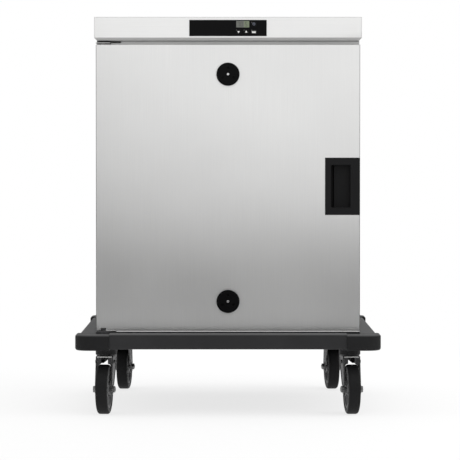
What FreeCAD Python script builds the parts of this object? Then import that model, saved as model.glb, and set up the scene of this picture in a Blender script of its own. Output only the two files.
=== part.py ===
"""Heated holding cart: an insulated stainless cabinet on a bumper base with four swivel casters.

Frame: +Z up, the front faces -Y, the origin is on the floor under the middle of the base.
All sizes are millimetres and stand in the sheet "dims".
"""
import FreeCAD, Part
import os
import re

# Driving dimensions
DIMENSIONS = [
    # Base
    ("bumper_reach_x", 52.3), ("bumper_reach_y", 46), ("rail_bottom", 170), ("rail_height", 36),
    ("rail_setback", 3), ("rail_skirt", 3), ("rail_edge_radius", 5), ("bumper_gap", 0.3),
    ("side_rail_drop", 5), ("side_rail_setback", 7),
    ("corner_length", 86.5), ("corner_height", 40), ("corner_bottom", 163.6),
    ("corner_radius", 38), ("corner_edge_radius", 6),
    ("deck_thickness", 4), ("caster_block", 112), ("cabinet_bottom", 208),
    # Casters
    ("front_caster_inset", 23), ("rear_caster_inset", 38), ("caster_inset_y", 56),
    ("caster_trail", 38), ("toe_angle", 5.5),
    ("wheel_diameter", 125), ("tyre_width", 30), ("tyre_thickness", 14), ("tyre_edge_radius", 6),
    ("hub_width", 28), ("hub_recess_depth", 7), ("hub_rim", 6), ("hub_boss_radius", 15),
    ("axle_diameter", 10), ("axle_head_radius", 9), ("axle_head_height", 6),
    ("fork_gap", 38), ("fork_sheet", 3), ("fork_crown_top", 145), ("fork_crown_thickness", 3),
    ("fork_crown_half_length", 34), ("fork_eye_radius", 14),
    ("race_radius", 25), ("race_height", 3), ("race_clearance", 0.3),
    ("kingpin_radius", 6), ("kingpin_length", 14),
    ("plate_length", 96), ("plate_width", 46), ("plate_thickness", 4), ("housing_radius", 27),
    ("bolt_spacing_x", 30), ("bolt_spacing_y", 68), ("bolt_diameter", 8), ("bolt_length", 26),
    ("bolt_head_radius", 7), ("bolt_head_height", 5), ("bolt_clearance", 0.25),
    ("running_clearance", 0.08), ("fit_clearance", 0.1),
    # Cabinet
    ("cabinet_width", 664), ("cabinet_depth", 788), ("sheet_steel", 1.2), ("wall_thickness", 45),
    ("ceiling_thickness", 53), ("bay_height", 62), ("heater_thickness", 3),
    ("heater_margin", 60), ("seal_gap", 8), ("lintel_inset", 62), ("lintel_depth", 36), ("lintel_gap", 0.5),
    ("probe_radius", 4), ("probe_length", 90), ("probe_clip", 12), ("probe_drop", 24),
    # Pan rack
    ("post_thickness", 12), ("post_width", 24), ("post_top_gap", 42), ("post_setback", 100),
    ("runner_end_gap", 29), ("runner_ledge", 20), ("runner_sheet", 1.5), ("runner_upstand", 14),
    ("runner_first", 70), ("runner_top_gap", 122), ("runner_count", 5),
    # Top cover and controls
    ("total_height", 1000), ("cover_height", 52), ("cover_overhang", 4),
    ("chin_height", 7.5), ("chin_setback", 7), ("chin_inset", 7),
    ("panel_width", 194), ("panel_height", 40.5), ("panel_thickness", 2), ("panel_drop", 7.6),
    ("window_margin", 4), ("post_radius", 3), ("board_gap", 7), ("board_thickness", 1.6),
    ("display_x", 37), ("display_rise", 9.55), ("display_width", 33), ("display_height", 16.5),
    ("display_thickness", 1.4), ("button_x", 45.7), ("button_pitch", 19.2), ("button_drop", 9.65),
    ("button_rise", 10.15), ("button_width", 12), ("button_height", 10), ("button_proud", 0.8),
    ("button_length", 7), ("button_clearance", 0.2),
    ("gland_inset", 92), ("gland_drop", 26), ("gland_bore_radius", 5), ("gland_tail_radius", 8),
    ("gland_tail_length", 14), ("gland_hex_radius", 14), ("gland_hex_height", 6),
    ("gland_dome_radius", 10), ("gland_dome_height", 16),
    # Door
    ("door_top_gap", 17), ("door_bottom_gap", 3), ("door_thickness", 50),
    ("handle_width", 88), ("handle_height", 144), ("handle_depth", 40), ("handle_proud", 1),
    ("handle_offset", 4), ("pocket_width", 48.5), ("pocket_height", 107), ("pocket_depth", 22),
    ("pocket_inset", 15), ("grip_width", 7.5), ("grip_lip", 7), ("grip_undercut", 7),
    ("grip_depth", 34), ("gasket_width", 16), ("gasket_margin", 3), ("gasket_clearance", 0.3),
    # Door vents
    ("vent_inset", 74.5), ("vent_radius", 29), ("vent_disc_thickness", 4),
    ("vent_flange_radius", 27), ("vent_flange_thickness", 1), ("vent_tube_radius", 24),
    ("vent_tube_wall", 2), ("vent_web", 4), ("vent_port_radius", 4), ("vent_port_circle", 16),
    ("vent_screw_radius", 2.5), ("vent_screw_head_radius", 3.2), ("vent_screw_head_height", 2),
    ("vent_clearance", 0.3),
    # Hinges
    ("hinge_inset", 18), ("pin_radius", 4), ("pin_depth", 12), ("bush_radius", 7),
    ("bush_length", 16), ("bracket_thickness", 2.5), ("bracket_width", 36),
    ("bracket_lift", 3),
    # Length by which every cutting tool runs past the face that it cuts
    ("overrun", 5),
]

# Places that follow from the driving dimensions
PLACES = {
    "half_width": "cabinet_width / 2",
    "base_width": "cabinet_width + 2 * bumper_reach_x",
    "base_depth": "cabinet_depth + 2 * bumper_reach_y",
    "front_caster_x": "half_width - front_caster_inset",
    "rear_caster_x": "half_width - rear_caster_inset",
    "caster_y": "cabinet_depth / 2 - caster_inset_y",
    "door_front": "-cabinet_depth / 2",
    "casing_rear": "cabinet_depth / 2",
    "door_rear": "door_front + door_thickness",
    "frame_front": "door_rear + seal_gap",
    "frame_rear": "frame_front + sheet_steel",
    "inner_half": "half_width - sheet_steel",
    "inner_rear": "casing_rear - sheet_steel",
    "inner_bottom": "cabinet_bottom + sheet_steel",
    "chamber_half": "half_width - wall_thickness",
    "chamber_rear": "casing_rear - wall_thickness",
    "chamber_floor": "cabinet_bottom + wall_thickness",
    "bay_floor": "total_height - bay_height",
    "chamber_top": "bay_floor - ceiling_thickness",
    "chamber_height": "chamber_top - chamber_floor",
    "casing_top": "total_height - sheet_steel",
    "cover_bottom": "total_height - cover_height",
    "cover_half": "half_width + cover_overhang",
    "cover_front": "door_front - cover_overhang",
    "cover_rear": "casing_rear + cover_overhang",
    "chin_bottom": "cover_bottom - chin_height",
    "panel_z": "total_height - panel_drop - panel_height / 2",
    "panel_front": "cover_front - panel_thickness",
    "board_front": "cover_front + board_gap",
    "gland_x": "half_width - gland_inset",
    "door_bottom": "cabinet_bottom + door_bottom_gap",
    "door_top": "cover_bottom - door_top_gap",
    "handle_z": "(door_bottom + door_top) / 2 + handle_offset",
    "handle_left": "half_width - handle_width",
    "handle_front": "door_front - handle_proud",
    "pocket_left": "handle_left + pocket_inset",
    "hinge_x": "-half_width + hinge_inset",
    "hinge_y": "door_front + hinge_inset",
    "deck_bottom": "cabinet_bottom - deck_thickness",
    "rail_top": "rail_bottom + rail_height",
    "rail_inner_x": "half_width + bumper_gap",
    "rail_inner_y": "cabinet_depth / 2 + bumper_gap",
    "corner_top": "corner_bottom + corner_height",
    "corner_inner_x": "base_width / 2 - corner_length",
    "corner_inner_y": "base_depth / 2 - corner_length",
    "axle_z": "wheel_diameter / 2",
    "fork_half": "fork_gap / 2 + fork_sheet",
    "plate_bottom": "rail_bottom - plate_thickness",
    "race_top": "fork_crown_top + race_height",
    "hub_radius": "wheel_diameter / 2 - tyre_thickness",
    "post_face": "chamber_half - post_thickness",
    "post_height": "chamber_height - post_top_gap",
    "runner_length": "2 * (chamber_rear - runner_end_gap)",
    "runner_pitch": "(chamber_height - runner_first - runner_top_gap) / (runner_count - 1)",
    "post_spacing": "runner_length - 2 * post_setback",
}

DOC = FreeCAD.newDocument("holding_cart")
SHEET = DOC.addObject("Spreadsheet::Sheet", "dims")
for row, (alias, number) in enumerate(DIMENSIONS, start=1):
    SHEET.set(f"A{row}", alias)
    SHEET.set(f"B{row}", str(number))
    SHEET.setAlias(f"B{row}", alias)
DOC.recompute()

ALIASES = {alias for alias, number in DIMENSIONS}
PIECES = []
X_AXIS = FreeCAD.Vector(1, 0, 0)
Y_AXIS = FreeCAD.Vector(0, 1, 0)
Z_AXIS = FreeCAD.Vector(0, 0, 1)
QUARTER_TURN = 90
HALF_TURN = 180
TOUCH = 1e-6


def size(name):
    """The number that a dimension or a place stands for."""
    return float(SHEET.evalExpression(expand(name)))


def expand(expression):
    """The expression with each dimension pointed at its cell and each place written out."""
    def swap(match):
        word = match.group(0)
        if word in PLACES:
            return f"({expand(PLACES[word])})"
        return f"dims.{word}" if word in ALIASES else word
    return re.sub(r"[a-z_]+", swap, expression)


def bind(thing, path, expression):
    thing.setExpression(path, expand(expression))


def span(side, near, far):
    """The low and high ends of a stretch from near to far, on the plus or minus side."""
    return (near, far) if side > 0 else (f"-({far})", f"-({near})")


def about(centre, width):
    """The low and high ends of a stretch of that width about a centre."""
    return f"{centre} - ({width}) / 2", f"{centre} + ({width}) / 2"


def put(thing, place):
    for axis, expression in zip("xyz", place):
        bind(thing, f"Placement.Base.{axis}", expression)
    return thing


def box(name, x, y, z):
    """A block between the low and high ends given along each axis."""
    block = DOC.addObject("Part::Box", name)
    for length, (low, high) in zip(("Length", "Width", "Height"), (x, y, z)):
        bind(block, length, f"({high}) - ({low})")
    return put(block, (x[0], y[0], z[0]))


def turned_to(axis):
    """The rotation that lays a shape's own Z axis along X, Y or Z."""
    if axis == "x":
        return FreeCAD.Rotation(Y_AXIS, QUARTER_TURN)
    if axis == "y":
        return FreeCAD.Rotation(X_AXIS, -QUARTER_TURN)
    return FreeCAD.Rotation()


def along(axis, thing, centre, ends):
    """Lays a cylinder or prism along an axis, between two ends, about a centre line."""
    low, high = ends
    bind(thing, "Height", f"({high}) - ({low})")
    thing.Placement = FreeCAD.Placement(FreeCAD.Vector(), turned_to(axis))
    place = list(centre)
    place.insert("xyz".index(axis), low)
    return put(thing, place)


def cylinder(name, axis, radius, centre, ends):
    rod = DOC.addObject("Part::Cylinder", name)
    bind(rod, "Radius", radius)
    return along(axis, rod, centre, ends)


def hexagon(name, axis, radius, centre, ends):
    nut = DOC.addObject("Part::Prism", name)
    bind(nut, "Circumradius", radius)
    return along(axis, nut, centre, ends)


def joined(name, *shapes):
    whole = DOC.addObject("Part::MultiFuse", name)
    whole.Shapes = list(shapes)
    return whole


def cut(name, base, *tools):
    result = DOC.addObject("Part::Cut", name)
    result.Base = base
    result.Tool = tools[0] if len(tools) == 1 else joined(f"{name}_tools", *tools)
    return result


def group(name, shapes):
    """Separate solids kept side by side in one object."""
    bundle = DOC.addObject("Part::Compound", name)
    bundle.Links = list(shapes)
    return bundle


def rounded(name, base, alias, chosen):
    """The base with a fillet of that size on the edges that the test chooses."""
    DOC.recompute()
    radius = size(alias)
    edges = [
        (number, radius, radius)
        for number, edge in enumerate(base.Shape.Edges, start=1)
        if chosen(edge)
    ]
    fillet = DOC.addObject("Part::Fillet", name)
    fillet.Base = base
    fillet.Edges = edges
    return fillet


def piece(label, thing):
    thing.Label = label
    PIECES.append(thing)
    return thing


def level(edge):
    return edge.BoundBox.ZLength < TOUCH


def on_plane(low, high, place):
    return abs(low - place) < TOUCH and abs(high - place) < TOUCH


# Bumper base

def outer_edges_of_rail(axis, outer):
    """Picks the long edges of a rail's outer face."""
    def chosen(edge):
        bound = edge.BoundBox
        ends = (bound.XMin, bound.XMax) if axis == "x" else (bound.YMin, bound.YMax)
        return level(edge) and on_plane(*ends, outer)
    return chosen


def rail(label, axis, side):
    """A straight bumper profile along one side of the base."""
    height = ("rail_bottom - rail_skirt", "rail_top")
    if axis == "x":
        height = ("rail_bottom - rail_skirt", "rail_top - side_rail_drop")
        across = span(side, "rail_inner_x", "base_width / 2 - side_rail_setback")
        blank = box(f"{label}_blank", across, ("-corner_inner_y", "corner_inner_y"), height)
        outer = side * (size("base_width") / 2 - size("side_rail_setback"))
    else:
        across = span(side, "rail_inner_y", "base_depth / 2 - rail_setback")
        blank = box(f"{label}_blank", ("-corner_inner_x", "corner_inner_x"), across, height)
        outer = side * (size("base_depth") / 2 - size("rail_setback"))
    edges = outer_edges_of_rail(axis, outer)
    piece(label, rounded(label, blank, "rail_edge_radius", edges))


def corner_bumper(label, side_x, side_y):
    """A moulded L-shaped corner, round on its outside."""
    block = box(
        f"{label}_block",
        span(side_x, "corner_inner_x", "base_width / 2"),
        span(side_y, "corner_inner_y", "base_depth / 2"),
        ("corner_bottom", "corner_top"),
    )
    outer_x = side_x * size("base_width") / 2
    outer_y = side_y * size("base_depth") / 2
    inner_x = outer_x - side_x * size("corner_length")
    inner_y = outer_y - side_y * size("corner_length")

    def upright_corner(edge):
        bound = edge.BoundBox
        return on_plane(bound.XMin, bound.XMax, outer_x) and on_plane(bound.YMin, bound.YMax, outer_y)

    def outer_rim(edge):
        bound = edge.BoundBox
        inside = on_plane(bound.XMin, bound.XMax, inner_x) or on_plane(bound.YMin, bound.YMax, inner_y)
        return level(edge) and not inside

    swept = rounded(f"{label}_swept", block, "corner_radius", upright_corner)
    soft = rounded(f"{label}_soft", swept, "corner_edge_radius", outer_rim)
    notch = box(
        f"{label}_notch",
        span(side_x, "corner_inner_x - overrun", "rail_inner_x"),
        span(side_y, "corner_inner_y - overrun", "rail_inner_y"),
        ("corner_bottom - overrun", "corner_top + overrun"),
    )
    piece(label, cut(label, soft, notch))


CORNERS = [
    ("front_left", -1, -1), ("front_right", 1, -1), ("rear_left", -1, 1), ("rear_right", 1, 1),
]


def caster_line(side_y):
    """The place across the base of a front or rear caster; the rear pair stands closer together."""
    return "rear_caster_x" if side_y > 0 else "front_caster_x"


def bolt_places():
    """The centres of the caster bolts, with a name for each."""
    for step_x in (-1, 1):
        for step_y in (-1, 1):
            for corner, side_x, side_y in CORNERS:
                place = (
                    f"{side_x} * {caster_line(side_y)} + {step_x} * bolt_spacing_x / 2",
                    f"{side_y} * caster_y + {step_y} * bolt_spacing_y / 2",
                )
                yield f"{corner}_{step_x + 1}{step_y + 1}", place


def bolt_holes(name, ends):
    radius = "bolt_diameter / 2 + bolt_clearance"
    return [cylinder(f"{name}_{tag}", "z", radius, place, ends) for tag, place in bolt_places()]


def chassis_deck():
    """The steel deck that the cabinet stands on, and a bolting block under each of its corners."""
    plate = box(
        "chassis_deck",
        ("-half_width", "half_width"),
        ("-cabinet_depth / 2", "cabinet_depth / 2"),
        ("deck_bottom", "cabinet_bottom"),
    )
    piece("chassis_deck", plate)
    holes = bolt_holes("block_hole", ("rail_bottom - overrun", "plate_bottom + bolt_length + overrun"))
    blocks = []
    for number, (corner, side_x, side_y) in enumerate(CORNERS):
        blank = box(
            f"block_{corner}",
            span(side_x, "half_width - caster_block", "half_width"),
            span(side_y, "cabinet_depth / 2 - caster_block", "cabinet_depth / 2"),
            ("rail_bottom", "deck_bottom"),
        )
        own_holes = holes[number::len(CORNERS)]
        blocks.append(cut(f"caster_block_{corner}", blank, *own_holes))
    piece("caster_blocks", group("caster_blocks", blocks))


def caster_plates():
    """The fixed top plate of each caster, with the housing of its swivel bearing."""
    holes = bolt_holes("plate_hole", ("plate_bottom - overrun", "rail_bottom + overrun"))
    plates = []
    for number, (corner, side_x, side_y) in enumerate(CORNERS):
        centre = (f"{side_x} * {caster_line(side_y)}", f"{side_y} * caster_y")
        flat = box(
            f"plate_{corner}",
            about(centre[0], "plate_width"),
            about(centre[1], "plate_length"),
            ("plate_bottom", "rail_bottom"),
        )
        housing = cylinder(
            f"housing_{corner}", "z", "housing_radius", centre,
            ("race_top + race_clearance", "plate_bottom"),
        )
        bore = cylinder(
            f"housing_bore_{corner}", "z", "kingpin_radius + running_clearance", centre,
            ("race_top - overrun", "race_top + kingpin_length + race_clearance"),
        )
        own_holes = holes[number::len(CORNERS)]
        solid = joined(f"plate_solid_{corner}", flat, housing)
        plates.append(cut(f"caster_plate_{corner}", solid, bore, *own_holes))
    piece("caster_plates", group("caster_plates", plates))


def caster_bolts():
    bolts = []
    for tag, place in bolt_places():
        shank = cylinder(
            f"bolt_shank_{tag}", "z", "bolt_diameter / 2", place,
            ("plate_bottom", "plate_bottom + bolt_length"),
        )
        head = hexagon(
            f"bolt_head_{tag}", "z", "bolt_head_radius", place,
            ("plate_bottom - bolt_head_height", "plate_bottom"),
        )
        bolts.append(joined(f"bolt_{tag}", shank, head))
    piece("caster_bolts", group("caster_bolts", bolts))


# Casters, each drawn about its own swivel axis and then turned and put under its corner

def fork_leg(name, side):
    """One stamped leg, wide under the crown and narrow at the axle's eye."""
    leg = DOC.addObject("Part::Wedge", f"{name}_blade")
    low, high = span(side, "fork_gap / 2", "fork_half")
    for ends in (("Xmin", "Xmax"), ("X2min", "X2max")):
        bind(leg, ends[0], low)
        bind(leg, ends[1], high)
    bind(leg, "Ymin", "axle_z")
    bind(leg, "Ymax", "fork_crown_top")
    bind(leg, "Zmin", "caster_trail - fork_eye_radius")
    bind(leg, "Zmax", "caster_trail + fork_eye_radius")
    bind(leg, "Z2min", "-fork_crown_half_length")
    bind(leg, "Z2max", "fork_crown_half_length")
    leg.Placement = FreeCAD.Placement(FreeCAD.Vector(), FreeCAD.Rotation(X_AXIS, QUARTER_TURN))
    eye = cylinder(f"{name}_eye", "x", "fork_eye_radius", ("-caster_trail", "axle_z"), (low, high))
    return joined(name, leg, eye)


def fork(corner):
    """The swivel fork: crown, race, kingpin and two legs."""
    name = f"caster_fork_{corner}"
    middle = ("0", "0")
    crown = box(
        f"{name}_crown",
        ("-fork_half", "fork_half"),
        ("-fork_crown_half_length", "fork_crown_half_length"),
        ("fork_crown_top - fork_crown_thickness", "fork_crown_top"),
    )
    race = cylinder(f"{name}_race", "z", "race_radius", middle, ("fork_crown_top", "race_top"))
    kingpin = cylinder(
        f"{name}_kingpin", "z", "kingpin_radius", middle,
        ("fork_crown_top", "race_top + kingpin_length"),
    )
    legs = [fork_leg(f"{name}_leg_{side + 1}", side) for side in (-1, 1)]
    hole = cylinder(
        f"{name}_hole", "x", "axle_diameter / 2 + fit_clearance", ("-caster_trail", "axle_z"),
        ("-fork_half - overrun", "fork_half + overrun"),
    )
    return cut(name, joined(f"{name}_solid", crown, race, kingpin, *legs), hole)


def axle(corner):
    """The axle bolt with its head and nut outside the fork."""
    name = f"caster_axle_{corner}"
    line = ("-caster_trail", "axle_z")
    shank = cylinder(f"{name}_shank", "x", "axle_diameter / 2", line, ("-fork_half", "fork_half"))
    ends = [
        hexagon(
            f"{name}_end_{side + 1}", "x", "axle_head_radius", line,
            span(side, "fork_half", "fork_half + axle_head_height"),
        )
        for side in (-1, 1)
    ]
    return joined(name, shank, *ends)


def hub(corner):
    """The moulded wheel core, hollowed on both sides between boss and rim."""
    name = f"wheel_hub_{corner}"
    line = ("-caster_trail", "axle_z")
    disc = cylinder(f"{name}_disc", "x", "hub_radius", line, ("-hub_width / 2", "hub_width / 2"))
    tools = [
        cylinder(
            f"{name}_bore", "x", "axle_diameter / 2 + running_clearance", line,
            ("-hub_width / 2 - overrun", "hub_width / 2 + overrun"),
        )
    ]
    for side in (-1, 1):
        ends = span(side, "hub_width / 2 - hub_recess_depth", "hub_width / 2 + overrun")
        ring = cylinder(f"{name}_ring_{side + 1}", "x", "hub_radius - hub_rim", line, ends)
        boss = cylinder(f"{name}_boss_{side + 1}", "x", "hub_boss_radius", line, ends)
        tools.append(cut(f"{name}_recess_{side + 1}", ring, boss))
    return cut(name, disc, *tools)


def tyre(corner):
    """The rubber tread, round at its shoulders."""
    name = f"caster_tyre_{corner}"
    line = ("-caster_trail", "axle_z")
    ends = ("-tyre_width / 2", "tyre_width / 2")
    solid = cylinder(f"{name}_solid", "x", "wheel_diameter / 2", line, ends)
    shoulders = rounded(
        f"{name}_soft", solid, "tyre_edge_radius",
        lambda edge: edge.Closed and edge.BoundBox.XLength < TOUCH,
    )
    bore = cylinder(
        f"{name}_bore", "x", "hub_radius + fit_clearance", line,
        ("-tyre_width / 2 - overrun", "tyre_width / 2 + overrun"),
    )
    return cut(name, shoulders, bore)


def casters():
    """Front casters trail forwards and rear ones backwards, all a little toed out."""
    for corner, side_x, side_y in CORNERS:
        turn = side_x * size("toe_angle") + (HALF_TURN if side_y > 0 else 0)
        for thing in (fork(corner), axle(corner), hub(corner), tyre(corner)):
            label = thing.Name
            turned = FreeCAD.Rotation(Z_AXIS, turn)
            thing.Placement = FreeCAD.Placement(FreeCAD.Vector(), turned)
            put(thing, (f"{side_x} * {caster_line(side_y)}", f"{side_y} * caster_y", "0"))
            piece(label, thing)


# Cabinet

def outer_casing():
    """Folded sheet: both sides, the back and the bottom."""
    outside = box(
        "casing_outside",
        ("-half_width", "half_width"), ("frame_front", "casing_rear"), ("cabinet_bottom", "casing_top"),
    )
    inside = box(
        "casing_inside",
        ("-inner_half", "inner_half"), ("frame_front - overrun", "inner_rear"),
        ("inner_bottom", "casing_top + overrun"),
    )
    hole = gland_hole("casing_gland_hole")
    piece("outer_casing", cut("outer_casing", outside, inside, hole))


def gland_hole(name):
    return cylinder(
        name, "y", "gland_tail_radius + fit_clearance", ("gland_x", "total_height - gland_drop"),
        ("inner_rear - overrun", "cover_rear + overrun"),
    )


def front_frame():
    """The frame round the chamber's mouth, with a lintel over the door, under the chin."""
    plate = box(
        "frame_plate",
        ("-inner_half", "inner_half"), ("frame_front", "frame_rear"), ("inner_bottom", "bay_floor"),
    )
    mouth = box(
        "frame_mouth",
        ("-chamber_half - sheet_steel", "chamber_half + sheet_steel"),
        ("frame_front - overrun", "frame_rear + overrun"),
        ("chamber_floor - sheet_steel", "chamber_top + sheet_steel"),
    )
    lintel = box(
        "frame_lintel",
        ("-half_width + lintel_inset", "inner_half"), ("frame_front - lintel_depth", "frame_rear"),
        ("door_top + bracket_lift", "chin_bottom - lintel_gap"),
    )
    piece("front_frame", cut("front_frame", joined("frame_and_lintel", plate, lintel), mouth))


def inner_liner():
    outside = box(
        "liner_outside",
        ("-chamber_half - sheet_steel", "chamber_half + sheet_steel"),
        ("frame_front", "chamber_rear + sheet_steel"),
        ("chamber_floor - sheet_steel", "chamber_top + sheet_steel"),
    )
    inside = box(
        "liner_inside",
        ("-chamber_half", "chamber_half"), ("frame_front - overrun", "chamber_rear"),
        ("chamber_floor", "chamber_top"),
    )
    piece("inner_liner", cut("inner_liner", outside, inside))


def insulation():
    """Five slabs of mineral wool between the casing and the liner."""
    slab_half = "chamber_half + sheet_steel + heater_thickness"
    height = ("inner_bottom", "bay_floor - sheet_steel")
    depth = ("frame_rear", "chamber_rear + sheet_steel")
    across = (f"-({slab_half})", slab_half)
    slabs = [
        box("slab_left", span(-1, slab_half, "inner_half"), ("frame_rear", "inner_rear"), height),
        box("slab_right", span(1, slab_half, "inner_half"), ("frame_rear", "inner_rear"), height),
        box("slab_rear", across, ("chamber_rear + sheet_steel", "inner_rear"), height),
        box("slab_top", across, depth, ("chamber_top + sheet_steel", "bay_floor - sheet_steel")),
        box("slab_bottom", across, depth, ("inner_bottom", "chamber_floor - sheet_steel")),
    ]
    piece("insulation", group("insulation", slabs))


def heater_mats():
    """Flat heaters bonded to the outside of the liner's two sides."""
    face = "chamber_half + sheet_steel"
    depth = ("frame_rear + heater_margin", "chamber_rear - heater_margin")
    height = ("chamber_floor + heater_margin", "chamber_top - heater_margin")
    mats = [
        box(f"heater_{side + 1}", span(side, face, f"{face} + heater_thickness"), depth, height)
        for side in (-1, 1)
    ]
    piece("heater_mats", group("heater_mats", mats))


def electronics_tray():
    tray = box(
        "electronics_tray",
        ("-inner_half", "inner_half"), ("frame_rear", "inner_rear"),
        ("bay_floor - sheet_steel", "bay_floor"),
    )
    piece("electronics_tray", tray)


def temperature_probe():
    """A rod sensor held to the chamber's back wall by two clips."""
    line = ("chamber_rear - probe_clip / 2", "chamber_top - probe_drop")
    rod = cylinder("probe_rod", "x", "probe_radius", line, about("0", "probe_length"))
    clips = [
        box(
            f"probe_clip_{side + 1}",
            about(f"{side} * probe_length / 4", "probe_clip"),
            ("chamber_rear - probe_clip", "chamber_rear"),
            about(line[1], "probe_clip"),
        )
        for side in (-1, 1)
    ]
    piece("temperature_probe", joined("temperature_probe", rod, *clips))


def pan_rack():
    """Four posts against the chamber's sides, and the ledges that carry the pans."""
    posts = []
    runners = []
    for side in (-1, 1):
        for end in (-1, 1):
            posts.append(box(
                f"rack_post_{side + 1}{end + 1}",
                span(side, "post_face", "chamber_half"),
                about(f"{end} * post_spacing / 2", "post_width"),
                ("chamber_floor", "chamber_floor + post_height"),
            ))
        for step in range(int(size("runner_count"))):
            base = f"chamber_floor + runner_first + {step} * runner_pitch"
            depth = about("0", "runner_length")
            name = f"runner_{side + 1}_{step}"
            ledge = box(
                f"{name}_ledge", span(side, "post_face - runner_ledge", "post_face"),
                depth, (base, f"{base} + runner_sheet"),
            )
            upstand = box(
                f"{name}_upstand", span(side, "post_face - runner_sheet", "post_face"),
                depth, (base, f"{base} + runner_upstand"),
            )
            runners.append(joined(name, ledge, upstand))
    piece("rack_posts", group("rack_posts", posts))
    piece("pan_runners", group("pan_runners", runners))


# Top cover and controls

def wedge_down(name, margin):
    """The chin under the cover's front: a trough that narrows downwards, less a margin all round."""
    chin = DOC.addObject("Part::Wedge", name)
    bind(chin, "Ymin", f"chin_bottom + {margin}")
    bind(chin, "Ymax", "cover_bottom")
    for low, high, inset in (("X2min", "X2max", "0"), ("Xmin", "Xmax", "chin_inset")):
        bind(chin, low, f"-cover_half + {inset} + {margin}")
        bind(chin, high, f"cover_half - {inset} - {margin}")
    for low, high, inset in (("Z2min", "Z2max", "0"), ("Zmin", "Zmax", "chin_setback")):
        bind(chin, low, f"-frame_front + {margin}")
        bind(chin, high, f"-cover_front - {inset} - {margin}")
    chin.Placement = FreeCAD.Placement(FreeCAD.Vector(), FreeCAD.Rotation(X_AXIS, QUARTER_TURN))
    return chin


def top_cover():
    """The folded cap over the electronics, with a slanted chin under its front."""
    outside = box(
        "cover_outside",
        ("-cover_half", "cover_half"), ("cover_front", "cover_rear"), ("cover_bottom", "total_height"),
    )
    inside = box(
        "cover_inside",
        ("-cover_half + sheet_steel", "cover_half - sheet_steel"),
        ("cover_front + sheet_steel", "cover_rear - sheet_steel"),
        ("cover_bottom - overrun", "casing_top"),
    )
    cap = cut("cover_cap", outside, inside)
    chin = cut("cover_chin", wedge_down("chin_outside", "0"), wedge_down("chin_inside", "sheet_steel"))
    window = box(
        "cover_window",
        about("0", "panel_width - 2 * window_margin"),
        ("cover_front - overrun", "cover_front + sheet_steel + overrun"),
        about("panel_z", "panel_height - 2 * window_margin"),
    )
    shell = joined("cover_shell", cap, chin)
    piece("top_cover", cut("top_cover", shell, window, gland_hole("cover_gland_hole")))


BUTTONS = [
    ("down_button", "button_x - button_pitch", "panel_z - button_drop"),
    ("up_button", "button_x", "panel_z - button_drop"),
    ("set_button", "button_x + button_pitch", "panel_z - button_drop"),
    ("power_button", "button_x + button_pitch", "panel_z + button_rise"),
]


def control_panel():
    """The black front plate, with four posts behind it for the board."""
    plate = box(
        "panel_plate",
        about("0", "panel_width"), ("panel_front", "cover_front"), about("panel_z", "panel_height"),
    )
    through = ("panel_front - overrun", "cover_front + overrun")
    holes = [
        box(
            f"panel_hole_{name}",
            about(x, "button_width + 2 * button_clearance"),
            through,
            about(z, "button_height + 2 * button_clearance"),
        )
        for name, x, z in BUTTONS
    ]
    holes.append(box(
        "panel_hole_display",
        about("display_x", "display_width"),
        ("panel_front - overrun", "panel_front + display_thickness"),
        about("panel_z + display_rise", "display_height"),
    ))
    posts = [
        cylinder(
            f"panel_post_{side_x + 1}{side_z + 1}", "y", "post_radius",
            (
                f"{side_x} * (panel_width / 2 - window_margin - 2 * post_radius)",
                f"panel_z + {side_z} * (panel_height / 2 - window_margin - post_radius)",
            ),
            ("cover_front", "board_front"),
        )
        for side_x in (-1, 1)
        for side_z in (-1, 1)
    ]
    drilled = cut("panel_drilled", plate, *holes)
    piece("control_panel", joined("control_panel", drilled, *posts))
    window = box(
        "display_window",
        about("display_x", "display_width - 2 * fit_clearance"),
        ("panel_front", "panel_front + display_thickness"),
        about("panel_z + display_rise", "display_height - 2 * fit_clearance"),
    )
    piece("display_window", window)


def control_board():
    board = box(
        "control_board",
        about("0", "panel_width - 2 * window_margin"),
        ("board_front", "board_front + board_thickness"),
        about("panel_z", "panel_height - 2 * window_margin"),
    )
    piece("control_board", board)


def buttons():
    for name, x, z in BUTTONS:
        key = box(
            name,
            about(x, "button_width"),
            ("panel_front - button_proud", "panel_front - button_proud + button_length"),
            about(z, "button_height"),
        )
        piece(name, key)


def cable_gland():
    """The mains gland in the back wall, open for its cable."""
    line = ("gland_x", "total_height - gland_drop")
    tail = cylinder(
        "gland_tail", "y", "gland_tail_radius", line, ("cover_rear - gland_tail_length", "cover_rear"),
    )
    nut = hexagon(
        "gland_hex", "y", "gland_hex_radius", line, ("cover_rear", "cover_rear + gland_hex_height"),
    )
    dome_start = "cover_rear + gland_hex_height"
    dome = cylinder(
        "gland_dome", "y", "gland_dome_radius", line, (dome_start, f"{dome_start} + gland_dome_height"),
    )
    bore = cylinder(
        "gland_bore", "y", "gland_bore_radius", line,
        ("cover_rear - gland_tail_length - overrun", f"{dome_start} + gland_dome_height + overrun"),
    )
    piece("cable_gland", cut("cable_gland", joined("gland_solid", tail, nut, dome), bore))


# Door

VENTS = [("top", "door_top - vent_inset"), ("bottom", "door_bottom + vent_inset")]
BUSHES = [
    ("top", "door_top - bush_length", "door_top"),
    ("bottom", "door_bottom", "door_bottom + bush_length"),
]


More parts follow.
